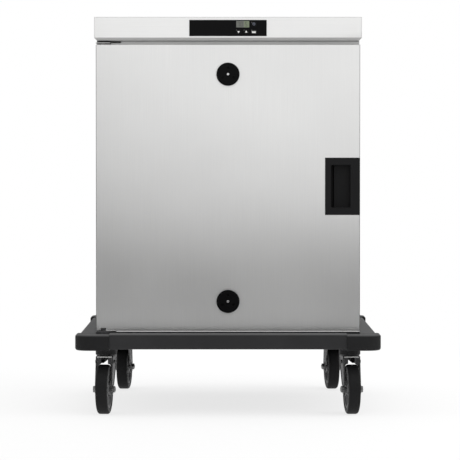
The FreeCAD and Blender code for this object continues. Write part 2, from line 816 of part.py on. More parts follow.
def door_openings(name, gap):
    """The cuts for the handle, the vents and the hinge bushes, each larger by the gap."""
    tools = [box(
        f"{name}_handle",
        (f"handle_left - {gap}", "half_width + overrun"),
        ("door_front - overrun", f"handle_front + handle_depth + {gap}"),
        about("handle_z", f"handle_height + 2 * {gap}"),
    )]
    for end, z in VENTS:
        tools.append(cylinder(
            f"{name}_vent_{end}", "y", f"vent_tube_radius + {gap}", ("0", z),
            ("door_front - overrun", "door_rear + overrun"),
        ))
    for end, low, high in BUSHES:
        tools.append(cylinder(
            f"{name}_bush_{end}", "z", f"bush_radius + {gap}", ("hinge_x", "hinge_y"),
            (f"{low} - fit_clearance", f"{high} + fit_clearance"),
        ))
    return tools


def door_skin():
    """The folded front sheet of the door, open at its back."""
    outside = box(
        "door_outside",
        ("-half_width", "half_width"), ("door_front", "door_rear"), ("door_bottom", "door_top"),
    )
    inside = box(
        "door_inside",
        ("-inner_half", "inner_half"), ("door_front + sheet_steel", "door_rear + overrun"),
        ("door_bottom + sheet_steel", "door_top - sheet_steel"),
    )
    tools = door_openings("skin_cut", "fit_clearance")
    piece("door_skin", cut("door_skin", outside, inside, *tools))


def door_filling():
    """The insulation slab and the inner panel that closes it in."""
    across = ("-inner_half + fit_clearance", "inner_half - fit_clearance")
    height = ("door_bottom + sheet_steel + fit_clearance", "door_top - sheet_steel - fit_clearance")
    slab = box(
        "door_slab", across, ("door_front + sheet_steel", "door_rear - sheet_steel"), height,
    )
    slab_cuts = door_openings("slab_cut", "fit_clearance")
    piece("door_insulation", cut("door_insulation", slab, *slab_cuts))
    panel = box("door_panel", across, ("door_rear - sheet_steel", "door_rear"), height)
    panel_cuts = door_openings("panel_cut", "fit_clearance")
    piece("door_inner_panel", cut("door_inner_panel", panel, *panel_cuts))


def door_gasket():
    inner_half = "chamber_half + gasket_margin"
    inner_low = "chamber_floor - gasket_margin"
    inner_high = "chamber_top + gasket_margin"
    depth = ("door_rear", "frame_front - gasket_clearance")
    ring = box(
        "gasket_outside",
        (f"-({inner_half}) - gasket_width", f"{inner_half} + gasket_width"),
        depth,
        (f"{inner_low} - gasket_width", f"{inner_high} + gasket_width"),
    )
    hole = box(
        "gasket_inside",
        (f"-({inner_half})", inner_half),
        ("door_rear - overrun", "frame_front + overrun"),
        (inner_low, inner_high),
    )
    piece("door_gasket", cut("door_gasket", ring, hole))


def handle_housing():
    """The black recessed grip at the door's free edge, undercut behind its left lip."""
    block = box(
        "handle_block",
        ("handle_left", "half_width"),
        ("handle_front", "handle_front + handle_depth"),
        about("handle_z", "handle_height"),
    )
    height = about("handle_z", "pocket_height")
    pocket = box(
        "handle_pocket",
        ("pocket_left", "pocket_left + pocket_width"),
        ("handle_front - overrun", "handle_front + pocket_depth"),
        height,
    )
    well = box(
        "handle_well",
        ("pocket_left - grip_undercut", "pocket_left + grip_width"),
        ("handle_front + grip_lip", "handle_front + grip_depth"),
        height,
    )
    piece("handle_housing", cut("handle_housing", block, pocket, well))


PORT_TURNS = (0, 120, 240)
CLOSED_TURN = 60
UPRIGHT = 90


def ports(name, z, ends, offset):
    """Three round ports about a vent's centre."""
    tools = []
    for turn in PORT_TURNS:
        angle = UPRIGHT + turn + offset
        place = (f"vent_port_circle * cos({angle})", f"{z} + vent_port_circle * sin({angle})")
        tools.append(cylinder(f"{name}_{turn}", "y", "vent_port_radius", place, ends))
    return tools


def vents():
    """Each vent: a seat with a sleeve through the door, a turning disc and its screw."""
    seat_front = "door_front - vent_flange_thickness"
    disc_rear = f"{seat_front} - vent_clearance"
    disc_front = f"{disc_rear} - vent_disc_thickness"
    screws = []
    for end, z in VENTS:
        line = ("0", z)
        name = f"vent_seat_{end}"
        flange = cylinder(f"{name}_flange", "y", "vent_flange_radius", line, (seat_front, "door_front"))
        sleeve = cylinder(f"{name}_sleeve", "y", "vent_tube_radius", line, ("door_front", "door_rear"))
        bore = cylinder(
            f"{name}_bore", "y", "vent_tube_radius - vent_tube_wall", line,
            (f"{seat_front} + vent_web", "door_rear + overrun"),
        )
        screw_hole = cylinder(
            f"{name}_hole", "y", "vent_screw_radius + fit_clearance", line,
            (f"{seat_front} - overrun", "door_rear"),
        )
        web = (f"{seat_front} - overrun", f"{seat_front} + vent_web + overrun")
        web_ports = ports(f"{name}_port", z, web, CLOSED_TURN)
        solid = joined(f"{name}_solid", flange, sleeve)
        piece(name, cut(name, solid, bore, screw_hole, *web_ports))

        name = f"vent_disc_{end}"
        disc = cylinder(f"{name}_solid", "y", "vent_radius", line, (disc_front, disc_rear))
        centre = cylinder(
            f"{name}_hole", "y", "vent_screw_radius + running_clearance", line,
            (f"{disc_front} - overrun", f"{disc_rear} + overrun"),
        )
        disc_ports = ports(f"{name}_port", z, (f"{disc_front} - overrun", f"{disc_rear} + overrun"), 0)
        piece(name, cut(name, disc, centre, *disc_ports))

        head_rear = f"{disc_front} - vent_clearance"
        head = cylinder(
            f"screw_head_{end}", "y", "vent_screw_head_radius", line,
            (f"{head_rear} - vent_screw_head_height", head_rear),
        )
        shank = cylinder(
            f"screw_shank_{end}", "y", "vent_screw_radius", line, (head_rear, f"{seat_front} + vent_web"),
        )
        screws.append(joined(f"vent_screw_{end}", head, shank))
    piece("vent_screws", group("vent_screws", screws))


# Hinges

def hinge_bushes():
    line = ("hinge_x", "hinge_y")
    bushes = []
    for end, low, high in BUSHES:
        body = cylinder(f"bush_body_{end}", "z", "bush_radius", line, (low, high))
        bore = cylinder(
            f"bush_bore_{end}", "z", "pin_radius + running_clearance", line,
            (f"{low} - overrun", f"{high} + overrun"),
        )
        bushes.append(cut(f"hinge_bush_{end}", body, bore))
    piece("hinge_bushes", group("hinge_bushes", bushes))


def hinge_brackets():
    """A lower bracket on the deck and an upper one on the front frame, each with its pin."""
    line = ("hinge_x", "hinge_y")
    across = ("-half_width", "-half_width + bracket_width")
    depth = ("door_front + sheet_steel", "frame_front")
    upper = ("door_top + bracket_lift", "door_top + bracket_lift + bracket_thickness")
    lower = ("cabinet_bottom", "cabinet_bottom + bracket_thickness")
    hole_radius = "pin_radius + fit_clearance"

    lower_plate = box("bracket_lower_plate", across, depth, lower)
    lower_hole = cylinder(
        "bracket_lower_hole", "z", hole_radius, line,
        ("cabinet_bottom - overrun", f"{lower[1]} + overrun"),
    )
    piece("hinge_bracket_bottom", cut("hinge_bracket_bottom", lower_plate, lower_hole))

    upper_plate = box("bracket_upper_plate", across, depth, upper)
    upper_hole = cylinder(
        "bracket_upper_hole", "z", hole_radius, line, ("door_top", f"{upper[1]} + overrun"),
    )
    piece("hinge_bracket_top", cut("hinge_bracket_top", upper_plate, upper_hole))

    pins = [
        cylinder("hinge_pin_top", "z", "pin_radius", line, ("door_top - pin_depth", upper[1])),
        cylinder("hinge_pin_bottom", "z", "pin_radius", line, (lower[0], "door_bottom + pin_depth")),
    ]
    piece("hinge_pins", group("hinge_pins", pins))


def build():
    for side, across, lengthwise in ((-1, "left", "front"), (1, "right", "rear")):
        rail(f"{across}_rail", "x", side)
        rail(f"{lengthwise}_rail", "y", side)
    for corner, side_x, side_y in CORNERS:
        corner_bumper(f"corner_bumper_{corner}", side_x, side_y)
    chassis_deck()
    caster_plates()
    caster_bolts()
    casters()
    outer_casing()
    front_frame()
    inner_liner()
    insulation()
    heater_mats()
    electronics_tray()
    temperature_probe()
    pan_rack()
    top_cover()
    control_panel()
    control_board()
    buttons()
    cable_gland()
    door_skin()
    door_filling()
    door_gasket()
    handle_housing()
    vents()
    hinge_bushes()
    hinge_brackets()
    DOC.recompute()


def check():
    """Stops with a message if any object failed or any piece is not a sound solid."""
    for thing in DOC.Objects:
        if "Invalid" in thing.State or "Error" in thing.State:
            raise RuntimeError(f"{thing.Label} failed: {thing.State}")
    for thing in PIECES:
        if thing.Shape.isNull() or not thing.Shape.isValid() or not thing.Shape.Solids:
            raise RuntimeError(f"{thing.Label} is not a valid solid")


def write():
    os.makedirs("parts", exist_ok=True)
    for thing in PIECES:
        thing.Shape.exportStep(os.path.join("parts", f"{thing.Label}.step"))
        print(thing.Label, len(thing.Shape.Solids), round(thing.Shape.Volume))


build()
check()
write()
print(len(PIECES), "pieces")
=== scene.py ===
import math

import bmesh
import bpy
from mathutils import Matrix, Vector


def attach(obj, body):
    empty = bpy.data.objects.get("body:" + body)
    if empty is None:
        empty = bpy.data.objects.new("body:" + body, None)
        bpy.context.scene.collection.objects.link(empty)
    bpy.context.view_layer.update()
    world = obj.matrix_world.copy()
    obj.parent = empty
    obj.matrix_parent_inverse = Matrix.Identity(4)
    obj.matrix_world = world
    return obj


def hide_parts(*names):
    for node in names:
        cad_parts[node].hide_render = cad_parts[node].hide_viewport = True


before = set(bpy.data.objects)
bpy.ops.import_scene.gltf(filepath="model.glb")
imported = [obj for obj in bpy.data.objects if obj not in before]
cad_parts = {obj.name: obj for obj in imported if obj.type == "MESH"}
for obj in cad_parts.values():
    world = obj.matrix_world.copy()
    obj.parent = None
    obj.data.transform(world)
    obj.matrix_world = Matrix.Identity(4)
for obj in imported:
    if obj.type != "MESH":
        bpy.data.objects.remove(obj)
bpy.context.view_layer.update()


# Bumper rails: four straight lengths of dark grey moulded plastic round the foot of the cart.
# They are clipped to the chassis deck between the corner bumpers. Their edges are rounded, and
# what rolls past rubs them paler there.

def alone(piece):
    """Makes a piece the only one selected, and the active one."""
    bpy.ops.object.select_all(action="DESELECT")
    piece.select_set(True)
    bpy.context.view_layer.objects.active = piece


def close_edit():
    """Leaves edit mode."""
    bpy.ops.object.mode_set(mode="OBJECT")


def merged_copy(node, name):
    """A copy of a CAD node with its triangles merged back into whole faces."""
    piece = bpy.data.objects.new(name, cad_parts[node].data.copy())
    bpy.context.scene.collection.objects.link(piece)
    alone(piece)
    bpy.ops.mesh.customdata_custom_splitnormals_clear()
    bpy.ops.object.mode_set(mode="EDIT")
    bpy.ops.mesh.select_all(action="SELECT")
    bpy.ops.mesh.remove_doubles(threshold=0.00001)
    bpy.ops.mesh.dissolve_limited(angle_limit=math.radians(0.5))
    close_edit()
    return piece


SHARP = 32


def soften(piece, radius, segments=2, where=None, sharpness=SHARP):
    """Rounds the sharp edges of a piece, or those whose middle passes the test."""
    alone(piece)
    bpy.ops.object.mode_set(mode="EDIT")
    bpy.ops.mesh.select_mode(type="EDGE")
    bpy.ops.mesh.select_all(action="DESELECT")
    bpy.ops.mesh.edges_select_sharp(sharpness=math.radians(sharpness))
    if where:
        mesh = bmesh.from_edit_mesh(piece.data)
        for edge in mesh.edges:
            middle = (edge.verts[0].co + edge.verts[1].co) / 2
            if edge.select and not where(middle):
                edge.select_set(False)
        bmesh.update_edit_mesh(piece.data)
    bpy.ops.mesh.bevel(offset=radius, segments=segments, affect="EDGES", clamp_overlap=True)
    close_edit()


def fit(piece, finish, body, slot, *nodes):
    """Gives a modelled piece its finish and its body, and hides the CAD nodes that it stands for; the slot
    is not used.
    """
    alone(piece)
    piece.data.materials.clear()
    piece.data.materials.append(finish)
    bpy.ops.object.shade_smooth_by_angle(angle=math.radians(SHARP))
    even = piece.modifiers.new("even", "WEIGHTED_NORMAL")
    even.keep_sharp = True
    bpy.ops.object.modifier_apply(modifier="even")
    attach(piece, body)
    if nodes:
        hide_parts(*nodes)


def dressed(node, name, finish, body, slot, edge, segments=2, where=None):
    """A copy of a CAD node that stands for it, with its edges rounded and its finish on."""
    piece = merged_copy(node, name)
    soften(piece, edge, segments, where)
    fit(piece, finish, body, slot, node)
    return piece


def add_node(tree, kind, feeds=None, **settings):
    """Adds a shader node, sets its properties, and fills or links the inputs that are named."""
    made = tree.nodes.new(kind)
    for key, value in settings.items():
        setattr(made, key, value)
    for key, value in (feeds or {}).items():
        if isinstance(value, bpy.types.NodeSocket):
            tree.links.new(value, made.inputs[key])
        else:
            made.inputs[key].default_value = value
    return made


def blend_colours(tree, mask, first, second):
    """A colour that goes from the first to the second as the mask goes from 0 to 1."""
    ends = [end if isinstance(end, bpy.types.NodeSocket) else (*end, 1) for end in (first, second)]
    return add_node(
        tree, "ShaderNodeMix", {0: mask, 6: ends[0], 7: ends[1]}, data_type="RGBA",
    ).outputs[2]


def spread(tree, source, low, high):
    """A value from low to high as the source goes from 0 to 1."""
    return add_node(
        tree, "ShaderNodeMapRange", {"Value": source, "To Min": low, "To Max": high},
    ).outputs["Result"]


def new_effect(name, inputs, outputs):
    """An empty node group with number inputs and outputs, and its two end nodes."""
    tree = bpy.data.node_groups.new(name, "ShaderNodeTree")
    for label, value in inputs.items():
        socket = tree.interface.new_socket(label, in_out="INPUT", socket_type="NodeSocketFloat")
        socket.default_value = value
    for label in outputs:
        tree.interface.new_socket(label, in_out="OUTPUT", socket_type="NodeSocketFloat")
    return tree, tree.nodes.new("NodeGroupInput"), tree.nodes.new("NodeGroupOutput")


def use_effect(tree, effect, **values):
    """Places a node group in a material with its own values."""
    made = add_node(tree, "ShaderNodeGroup", node_tree=effect)
    for label, value in values.items():
        made.inputs[label].default_value = value
    return made


skin_effect, ends_in, ends_out = new_effect(
    "moulded_skin", {"Grain": 700.0, "Mottle": 12.0}, ["Height", "Cloud"],
)
place = add_node(skin_effect, "ShaderNodeTexCoord").outputs["Object"]
for source, label, detail in (("Grain", "Height", 2.0), ("Mottle", "Cloud", 4.0)):
    noise = add_node(
        skin_effect, "ShaderNodeTexNoise",
        {"Vector": place, "Scale": ends_in.outputs[source], "Detail": detail},
    )
    skin_effect.links.new(noise.outputs["Fac"], ends_out.inputs[label])

# Edge masks: Mask is rubbing wear broken into patches; the unbroken Edge mask carries painted shade on
# steel folds and painted highlights on fork edges.
edge_band_effect, ends_in, ends_out = new_effect(
    "edge_bands", {"Width": 0.003, "Scatter": 55.0}, ["Mask", "Edge"],
)
place = add_node(edge_band_effect, "ShaderNodeTexCoord").outputs["Object"]
rounded = add_node(edge_band_effect, "ShaderNodeBevel", {"Radius": ends_in.outputs["Width"]}, samples=6)
true_normal = add_node(edge_band_effect, "ShaderNodeNewGeometry").outputs["True Normal"]
turned = add_node(
    edge_band_effect, "ShaderNodeVectorMath", {0: rounded.outputs["Normal"], 1: true_normal},
    operation="DOT_PRODUCT",
)
near_edge = add_node(
    edge_band_effect, "ShaderNodeMapRange",
    {"Value": turned.outputs["Value"], "From Min": 0.97, "From Max": 0.80},
)
scatter = add_node(
    edge_band_effect, "ShaderNodeTexNoise",
    {"Vector": place, "Scale": ends_in.outputs["Scatter"], "Detail": 6.0, "Roughness": 0.7},
)
patches = add_node(
    edge_band_effect, "ShaderNodeMapRange",
    {"Value": scatter.outputs["Fac"], "From Min": 0.42, "From Max": 0.66},
)
rubbed = add_node(
    edge_band_effect, "ShaderNodeMath", {0: near_edge.outputs["Result"], 1: patches.outputs["Result"]},
    operation="MULTIPLY",
)
edge_band_effect.links.new(rubbed.outputs["Value"], ends_out.inputs["Mask"])
edge_band_effect.links.new(near_edge.outputs["Result"], ends_out.inputs["Edge"])

dust_effect, ends_in, ends_out = new_effect("settled_dust", {"Amount": 0.0}, ["Cover"])
facing = add_node(dust_effect, "ShaderNodeNewGeometry").outputs["Normal"]
upward = add_node(dust_effect, "ShaderNodeSeparateXYZ", {0: facing}).outputs["Z"]
lying = add_node(
    dust_effect, "ShaderNodeMapRange",
    {"Value": upward, "From Min": 0.25, "From Max": 0.85, "To Max": ends_in.outputs["Amount"]},
)
dust_effect.links.new(lying.outputs["Result"], ends_out.inputs["Cover"])

DUST_GREY = (0.135, 0.135, 0.136)
DUST_MATT = 0.5


def tones(colour, *shares):
    """Darker or paler tones of a colour."""
    return [[share * part for part in colour] for share in shares]


def new_finish(name, values):
    """A new material with values set in its shader: the material, its tree and the shader."""
    finish = bpy.data.materials.new(name)
    finish.use_nodes = True
    shader = finish.node_tree.nodes["Principled BSDF"]
    for label, value in values.items():
        shader.inputs[label].default_value = value
    return finish, finish.node_tree, shader


def emboss(tree, shader, height, strength, depth):
    """Raises a shader's surface by a pattern of heights."""
    bump = add_node(tree, "ShaderNodeBump", {"Height": height, "Strength": strength, "Distance": depth})
    tree.links.new(bump.outputs["Normal"], shader.inputs["Normal"])


def moulded_plastic(
    name, colour, rubbed_colour, roughness, grain=700.0, relief=0.00012, specular=0.3, dust=0.0,
):
    """A moulded plastic: a grained skin, slow clouding of its colour, rubbed edges, and dust on top."""
    finish, tree, shader = new_finish(name, {"Specular IOR Level": specular})
    skin = use_effect(tree, skin_effect, Grain=grain)
    edge_masks = use_effect(tree, edge_band_effect)
    clouded = blend_colours(tree, skin.outputs["Cloud"], *tones(colour, 0.82, 1.18))
    worn_or_lit = blend_colours(tree, edge_masks.outputs["Mask"], clouded, rubbed_colour)
    gloss = spread(tree, skin.outputs["Cloud"], roughness - 0.07, roughness + 0.07)
    if dust:
        cover = use_effect(tree, dust_effect, Amount=dust).outputs["Cover"]
        worn_or_lit = blend_colours(tree, cover, worn_or_lit, DUST_GREY)
        gloss = add_node(
            tree, "ShaderNodeMath", {0: cover, 1: DUST_MATT, 2: gloss}, operation="MULTIPLY_ADD",
        ).outputs["Value"]
    tree.links.new(worn_or_lit, shader.inputs["Base Color"])
    tree.links.new(gloss, shader.inputs["Roughness"])
    emboss(tree, shader, skin.outputs["Height"], 0.5, relief)
    return finish


rail_plastic = moulded_plastic(
    "rail_plastic", (0.029, 0.029, 0.030), (0.06, 0.06, 0.061), 0.42, specular=0.12, dust=0.8,
)
for side in ("front", "rear", "left", "right"):
    dressed(
        f"{side}_rail", f"bumper_rail_{side}", rail_plastic, "cabinet", "bumper_grey", edge=0.0008,
    )


# Corner bumpers: four soft moulded corners of the same plastic, a little prouder than the rails.
# Each wraps one corner of the deck and hides the rails' ends behind a fine seam.

corner_plastic = moulded_plastic(
    "corner_plastic", (0.016, 0.016, 0.0165), (0.035, 0.035, 0.036), 0.52, grain=600.0, specular=0.1,
    dust=0.65,
)
for corner in ("front_left", "front_right", "rear_left", "rear_right"):
    dressed(
        f"corner_bumper_{corner}", f"bumper_corner_{corner}", corner_plastic, "cabinet", "bumper_grey",
        edge=0.001,
    )


# Chassis deck: a steel plate under the cabinet with a bolting block at each corner.
# Both are welded and painted dark grey.

def painted_steel(name, colour, roughness):
    """Sprayed paint on steel: slight orange peel, soft clouding, and bare rubbed edges."""
    return moulded_plastic(name, colour, (0.22, 0.22, 0.22), roughness, grain=260.0, relief=0.00008)


deck_paint = painted_steel("deck_paint", (0.03, 0.03, 0.032), 0.42)
for node, name in (("chassis_deck", "deck_plate"), ("caster_blocks", "bolting_blocks")):
    dressed(node, name, deck_paint, "cabinet", "deck_paint", edge=0.0008)


# Caster plates: a steel top plate with the swivel's ball housing under it, painted dark grey.
# Each is held up to its bolting block by four blackened hexagon bolts.

def zinc_plate(name, colour, roughness, worn_or_lit=(0.72, 0.72, 0.70), wear_or_light="Mask"):
    """Zinc plating: a grey metal with a faint spangle, cloudy gloss and bright rubbed edges; with the Edge
    mask, a painted highlight along every edge instead.
    """
    finish, tree, shader = new_finish(name, {"Metallic": 1.0})
    skin = use_effect(tree, skin_effect, Grain=380.0, Mottle=45.0)
    edge_masks = use_effect(tree, edge_band_effect, Scatter=90.0)
    place = add_node(tree, "ShaderNodeTexCoord").outputs["Object"]
    spangle = add_node(tree, "ShaderNodeTexVoronoi", {"Vector": place, "Scale": 260.0})
    flake = add_node(tree, "ShaderNodeSeparateColor", {"Color": spangle.outputs["Color"]})
    base = blend_colours(tree, flake.outputs["Red"], *tones(colour, 0.9, 1.08))
    dulled_or_shaded = blend_colours(tree, skin.outputs["Cloud"], base, *tones(colour, 0.75))
    # With the Edge mask, the pale edge colour is a painted highlight along every edge.
    rubbed = blend_colours(tree, edge_masks.outputs[wear_or_light], dulled_or_shaded, worn_or_lit)
    tree.links.new(rubbed, shader.inputs["Base Color"])
    gloss = spread(tree, skin.outputs["Cloud"], roughness - 0.1, roughness + 0.12)
    tree.links.new(gloss, shader.inputs["Roughness"])
    emboss(tree, shader, skin.outputs["Height"], 0.3, 0.00006)
    return finish


dark_zinc = zinc_plate("dark_zinc", (0.06, 0.06, 0.062), 0.45, (0.25, 0.25, 0.25))
plate_paint = painted_steel("plate_paint", (0.012, 0.012, 0.0125), 0.45)
dressed("caster_plates", "swivel_plates", plate_paint, "cabinet", "caster_zinc", edge=0.0007)
dressed("caster_bolts", "plate_bolts", dark_zinc, "cabinet", "caster_zinc", edge=0.0007)


# Caster forks: two tapered legs, a crown and a ball race pressed from steel and zinc plated.
# The legs carry a shallow pressed panel and the heads of a tie bolt, with shoulders beside the tyre
# and a stiffening web behind. The zinc's dark grey is partly its own tone and partly painted shade from
# under the deck; every edge carries a painted highlight, and the crown's front edge is painted bright. One
# fork is modelled and copied.

def block(name, low, high):
    """A box between two corners, with its place in its mesh."""
    bpy.ops.object.select_all(action="DESELECT")
    middle = [(a + b) / 2 for a, b in zip(low, high)]
    lengths = [b - a for a, b in zip(low, high)]
    bpy.ops.mesh.primitive_cube_add(size=1, location=middle, scale=lengths)
    return settle(name)


QUARTER = math.pi / 2
TURN_TO = {"x": (0, QUARTER, 0), "y": (QUARTER, 0, 0), "z": (0, 0, 0)}


def rod(name, axis, radius, middle, length, sides=48):
    """A round bar along an axis, with its place in its mesh."""
    bpy.ops.object.select_all(action="DESELECT")
    bpy.ops.mesh.primitive_cylinder_add(
        vertices=sides, radius=radius, depth=length, location=middle, rotation=TURN_TO[axis],
    )
    return settle(name)


def settle(name):
    """Names the new piece and puts its place, turn and scale into its mesh."""
    piece = bpy.context.object
    piece.name = name
    piece.data.name = name
    bpy.ops.object.transform_apply(location=True, rotation=True, scale=True)
    return piece


def choose_faces(piece, test):
    """Opens a piece in edit mode with only the faces selected whose middle and normal pass the test."""
    alone(piece)
    bpy.ops.object.mode_set(mode="EDIT")
    bpy.ops.mesh.select_mode(type="FACE")
    bpy.ops.mesh.select_all(action="DESELECT")
    mesh = bmesh.from_edit_mesh(piece.data)
    for face in mesh.faces:
        face.select_set(test(face.calc_center_median(), face.normal))
    bmesh.update_edit_mesh(piece.data)


def sink(margin, move):
    """Insets the selected faces by a margin, and pushes what is left along a move."""
    bpy.ops.mesh.inset(thickness=margin)
    bpy.ops.mesh.extrude_region_move(TRANSFORM_OT_translate={"value": move})


def joined(name, *parts):
    """Joins pieces into one object."""
    bpy.ops.object.select_all(action="DESELECT")
    for part in parts:
        part.select_set(True)
    bpy.context.view_layer.objects.active = parts[0]
    bpy.ops.object.join()
    parts[0].name = name
    parts[0].data.name = name
    return parts[0]


def carve(piece, operation, *tools):
    """Unites tools with a piece or cuts them from it, and removes the tools."""
    for tool in tools:
        alone(piece)
        change = piece.modifiers.new("carve", "BOOLEAN")
        change.operation = operation
        change.solver = "EXACT"
        change.object = tool
        bpy.ops.object.modifier_apply(modifier="carve")
        bpy.data.objects.remove(tool)
    return piece


AXLE_Y = -0.038
AXLE_Z = 0.0625
LEG_IN = 0.019
LEG_OUT = 0.022
CROWN_HALF = 0.034
CROWN_LOW = 0.142
CROWN_HIGH = 0.145
EYE_RADIUS = 0.014
STRIP_DROP = 0.012
PANEL_MARGIN = 0.005
PANEL_DEPTH = 0.0009


def fork_leg(side):
    """One leg: the hull of a strip under the crown and the eye round the axle, with a pressed panel."""
    inner, outer = sorted((side * LEG_IN, side * LEG_OUT))
    middle_x = (inner + outer) / 2
    eye = rod("leg_eye", "x", EYE_RADIUS, (middle_x, AXLE_Y, AXLE_Z), LEG_OUT - LEG_IN, 40)
    strip_low = CROWN_LOW - STRIP_DROP
    strip = block("leg_strip", (inner, -CROWN_HALF, strip_low), (outer, CROWN_HALF, CROWN_HIGH))
    leg = joined("fork_leg", eye, strip)
    bpy.ops.object.mode_set(mode="EDIT")
    bpy.ops.mesh.select_all(action="SELECT")
    bpy.ops.mesh.convex_hull()
    bpy.ops.mesh.dissolve_limited(angle_limit=math.radians(0.5))
    close_edit()
    choose_faces(leg, lambda middle, normal: normal.x * side > 0.9)
    sink(PANEL_MARGIN, (-side * PANEL_DEPTH, 0, 0))
    close_edit()
    return leg


legs = [fork_leg(-1), fork_leg(1)]
crown = block("crown", (-LEG_OUT, -CROWN_HALF, CROWN_LOW), (LEG_OUT, CROWN_HALF, CROWN_HIGH))
race = rod("race", "z", 0.025, (0, 0, 0.1465), 0.003, 64)
fork_master = carve(crown, "UNION", *legs, race)
soften(fork_master, 0.0009, 2, sharpness=40)
TIE_PLACE = (-0.016, 0.131)
TIE_RADIUS = 0.0048
TIE_HEIGHT = 0.0036
WELD = 0.0005
WEB_LOW = 0.124
WEB_Y = (0.022, 0.024)
WEB_HEAD_X = 0.013
WEB_FOOT_X = -0.010
SHOULDER_X = 0.0085
SHOULDER_FRONT = -CROWN_HALF + 0.0005
SHOULDER_BACK = -CROWN_HALF + 0.003
SHOULDER_LOW = 0.108
ROOM_X = 0.0162
ROOM_DEPTH = 0.01
ROOM_LOW = 0.10
ROOM_TOP = 0.1262
ROOM_RADIUS = 0.007
ties = []
for side in (-1, 1):
    tie_head = rod(
        "tie_head", "x", TIE_RADIUS, (side * (LEG_OUT + TIE_HEIGHT / 2), *TIE_PLACE), TIE_HEIGHT, 24,
    )
    soften(tie_head, 0.0012, 3)
    ties.append(tie_head)
web = block("fork_web", (-LEG_IN, WEB_Y[0], WEB_LOW), (WEB_HEAD_X, WEB_Y[1], CROWN_LOW + WELD))
for corner in web.data.vertices:
    if corner.co.x > 0 and corner.co.z < WEB_LOW + WELD:
        corner.co.x = WEB_FOOT_X
soften(web, 0.0004, 1)
shoulders = []
for side in (-1, 1):
    near, far = sorted((side * SHOULDER_X, side * (LEG_IN + WELD)))
    shoulder = block(
        "fork_shoulder", (near, SHOULDER_FRONT, SHOULDER_LOW), (far, SHOULDER_BACK, CROWN_LOW + WELD),
    )
    tyre_room = block(
        "tyre_room", (-ROOM_X, -CROWN_HALF - ROOM_DEPTH, ROOM_LOW),
        (ROOM_X, -CROWN_HALF + ROOM_DEPTH, ROOM_TOP),
    )
    soften(
        tyre_room, ROOM_RADIUS, 6,
        where=lambda middle: middle.z > ROOM_TOP - 0.0002 and abs(middle.x) > ROOM_X - 0.0002,
    )
    carve(shoulder, "DIFFERENCE", tyre_room)
    soften(shoulder, 0.0008, 2)
    shoulders.append(shoulder)
kingpin = rod("kingpin", "z", 0.006, (0, 0, 0.155), 0.014)
king_nut = rod("king_nut", "z", 0.010, (0, 0, 0.1395), 0.006, 6)
soften(king_nut, 0.0008)
fork_master = joined("fork_master", fork_master, kingpin, king_nut, web, *shoulders, *ties)

CORNERS = {
    "front_left": (-1, -1), "front_right": (1, -1), "rear_left": (-1, 1), "rear_right": (1, 1),
}
FRONT_X = 0.309
REAR_X = 0.294
CASTER_Y = 0.338
TOE = 5.5


def at_corners(master, prefix, finish, body, slot, node, second=None, chosen=()):
    """Puts a copy of a caster piece under each corner, turned as that caster stands, and drops the master.

    The chosen faces get the second finish.
    """
    for corner, (side_x, side_y) in CORNERS.items():
        copy = bpy.data.objects.new(f"{prefix}_{corner}", master.data.copy())
        bpy.context.scene.collection.objects.link(copy)
        turn = math.radians(side_x * TOE + (180 if side_y > 0 else 0))
        reach = FRONT_X if side_y < 0 else REAR_X
        stand = Matrix.Translation((side_x * reach, side_y * CASTER_Y, 0))
        if side_x * side_y < 0:
            copy.data.transform(Matrix.Scale(-1, 4, (1, 0, 0)))
            copy.data.flip_normals()
        copy.data.transform(stand @ Matrix.Rotation(turn, 4, "Z"))
        fit(copy, finish, f"{body}_{corner}", slot, f"{node}_{corner}")
        if second:
            copy.data.materials.append(second)
        for index in chosen:
            copy.data.polygons[index].material_index = 1
    bpy.data.objects.remove(master)


# Painted shade and highlight: the fork's zinc is darkened past its own grey, and its pale edge colour
# follows every edge, unbroken.
fork_zinc = zinc_plate("fork_zinc", (0.105, 0.105, 0.108), 0.42, (0.30, 0.30, 0.295), "Edge")
# Painted highlight: the crown's front edge faces get a pale copy of the zinc.
lit_rim_zinc = zinc_plate("lit_rim_zinc", (0.80, 0.80, 0.79), 0.5)
lit_rim_faces = [
    face.index for face in fork_master.data.polygons
    if face.center.y < -CROWN_HALF + 0.0012 and face.center.z > CROWN_LOW - 0.0006
]
at_corners(fork_master, "fork", fork_zinc, "caster", "caster_zinc", "caster_fork", lit_rim_zinc, lit_rim_faces)


# Axle bolts: a hexagon bolt and a locking nut through fork and hub, each on a plain washer.
# Plated steel, with the thread's end just past the nut.

# Radius, distance from the wheel's middle, length, sides, edge radius and edge steps.
AXLE_STACK = {
    "washer": (0.0115, 0.0226, 0.0012, 40, 0.0003, 1),
    "hexagon": (0.009, 0.0256, 0.0048, 6, 0.0009, 2),
    "thread_tip": (0.0046, 0.0285, 0.0015, 32, 0.0005, 2),
}


def axle_end(side, *names):
    """The named pieces of the stack outside one leg."""
    parts = []
    for name in names:
        radius, x, length, sides, edge, steps = AXLE_STACK[name]
        part = rod(name, "x", radius, (side * x, AXLE_Y, AXLE_Z), length, sides)
        soften(part, edge, steps)
        parts.append(part)
    return parts


SHANK_RADIUS = 0.005
shank = rod("shank", "x", SHANK_RADIUS, (0, AXLE_Y, AXLE_Z), 2 * LEG_OUT)
bolt_finish = zinc_plate("bolt_zinc", (0.24, 0.24, 0.242), 0.34)
head_end = axle_end(-1, "washer", "hexagon")
nut_end = axle_end(1, "washer", "hexagon", "thread_tip")
axle_master = joined("axle_master", shank, *head_end, *nut_end)
at_corners(axle_master, "axle_bolt", bolt_finish, "caster", "caster_zinc", "caster_axle")


# Wheel cores: the moulded grey plastic centre of each wheel, hollowed on both sides.
# Six ribs tie its boss to its rim.

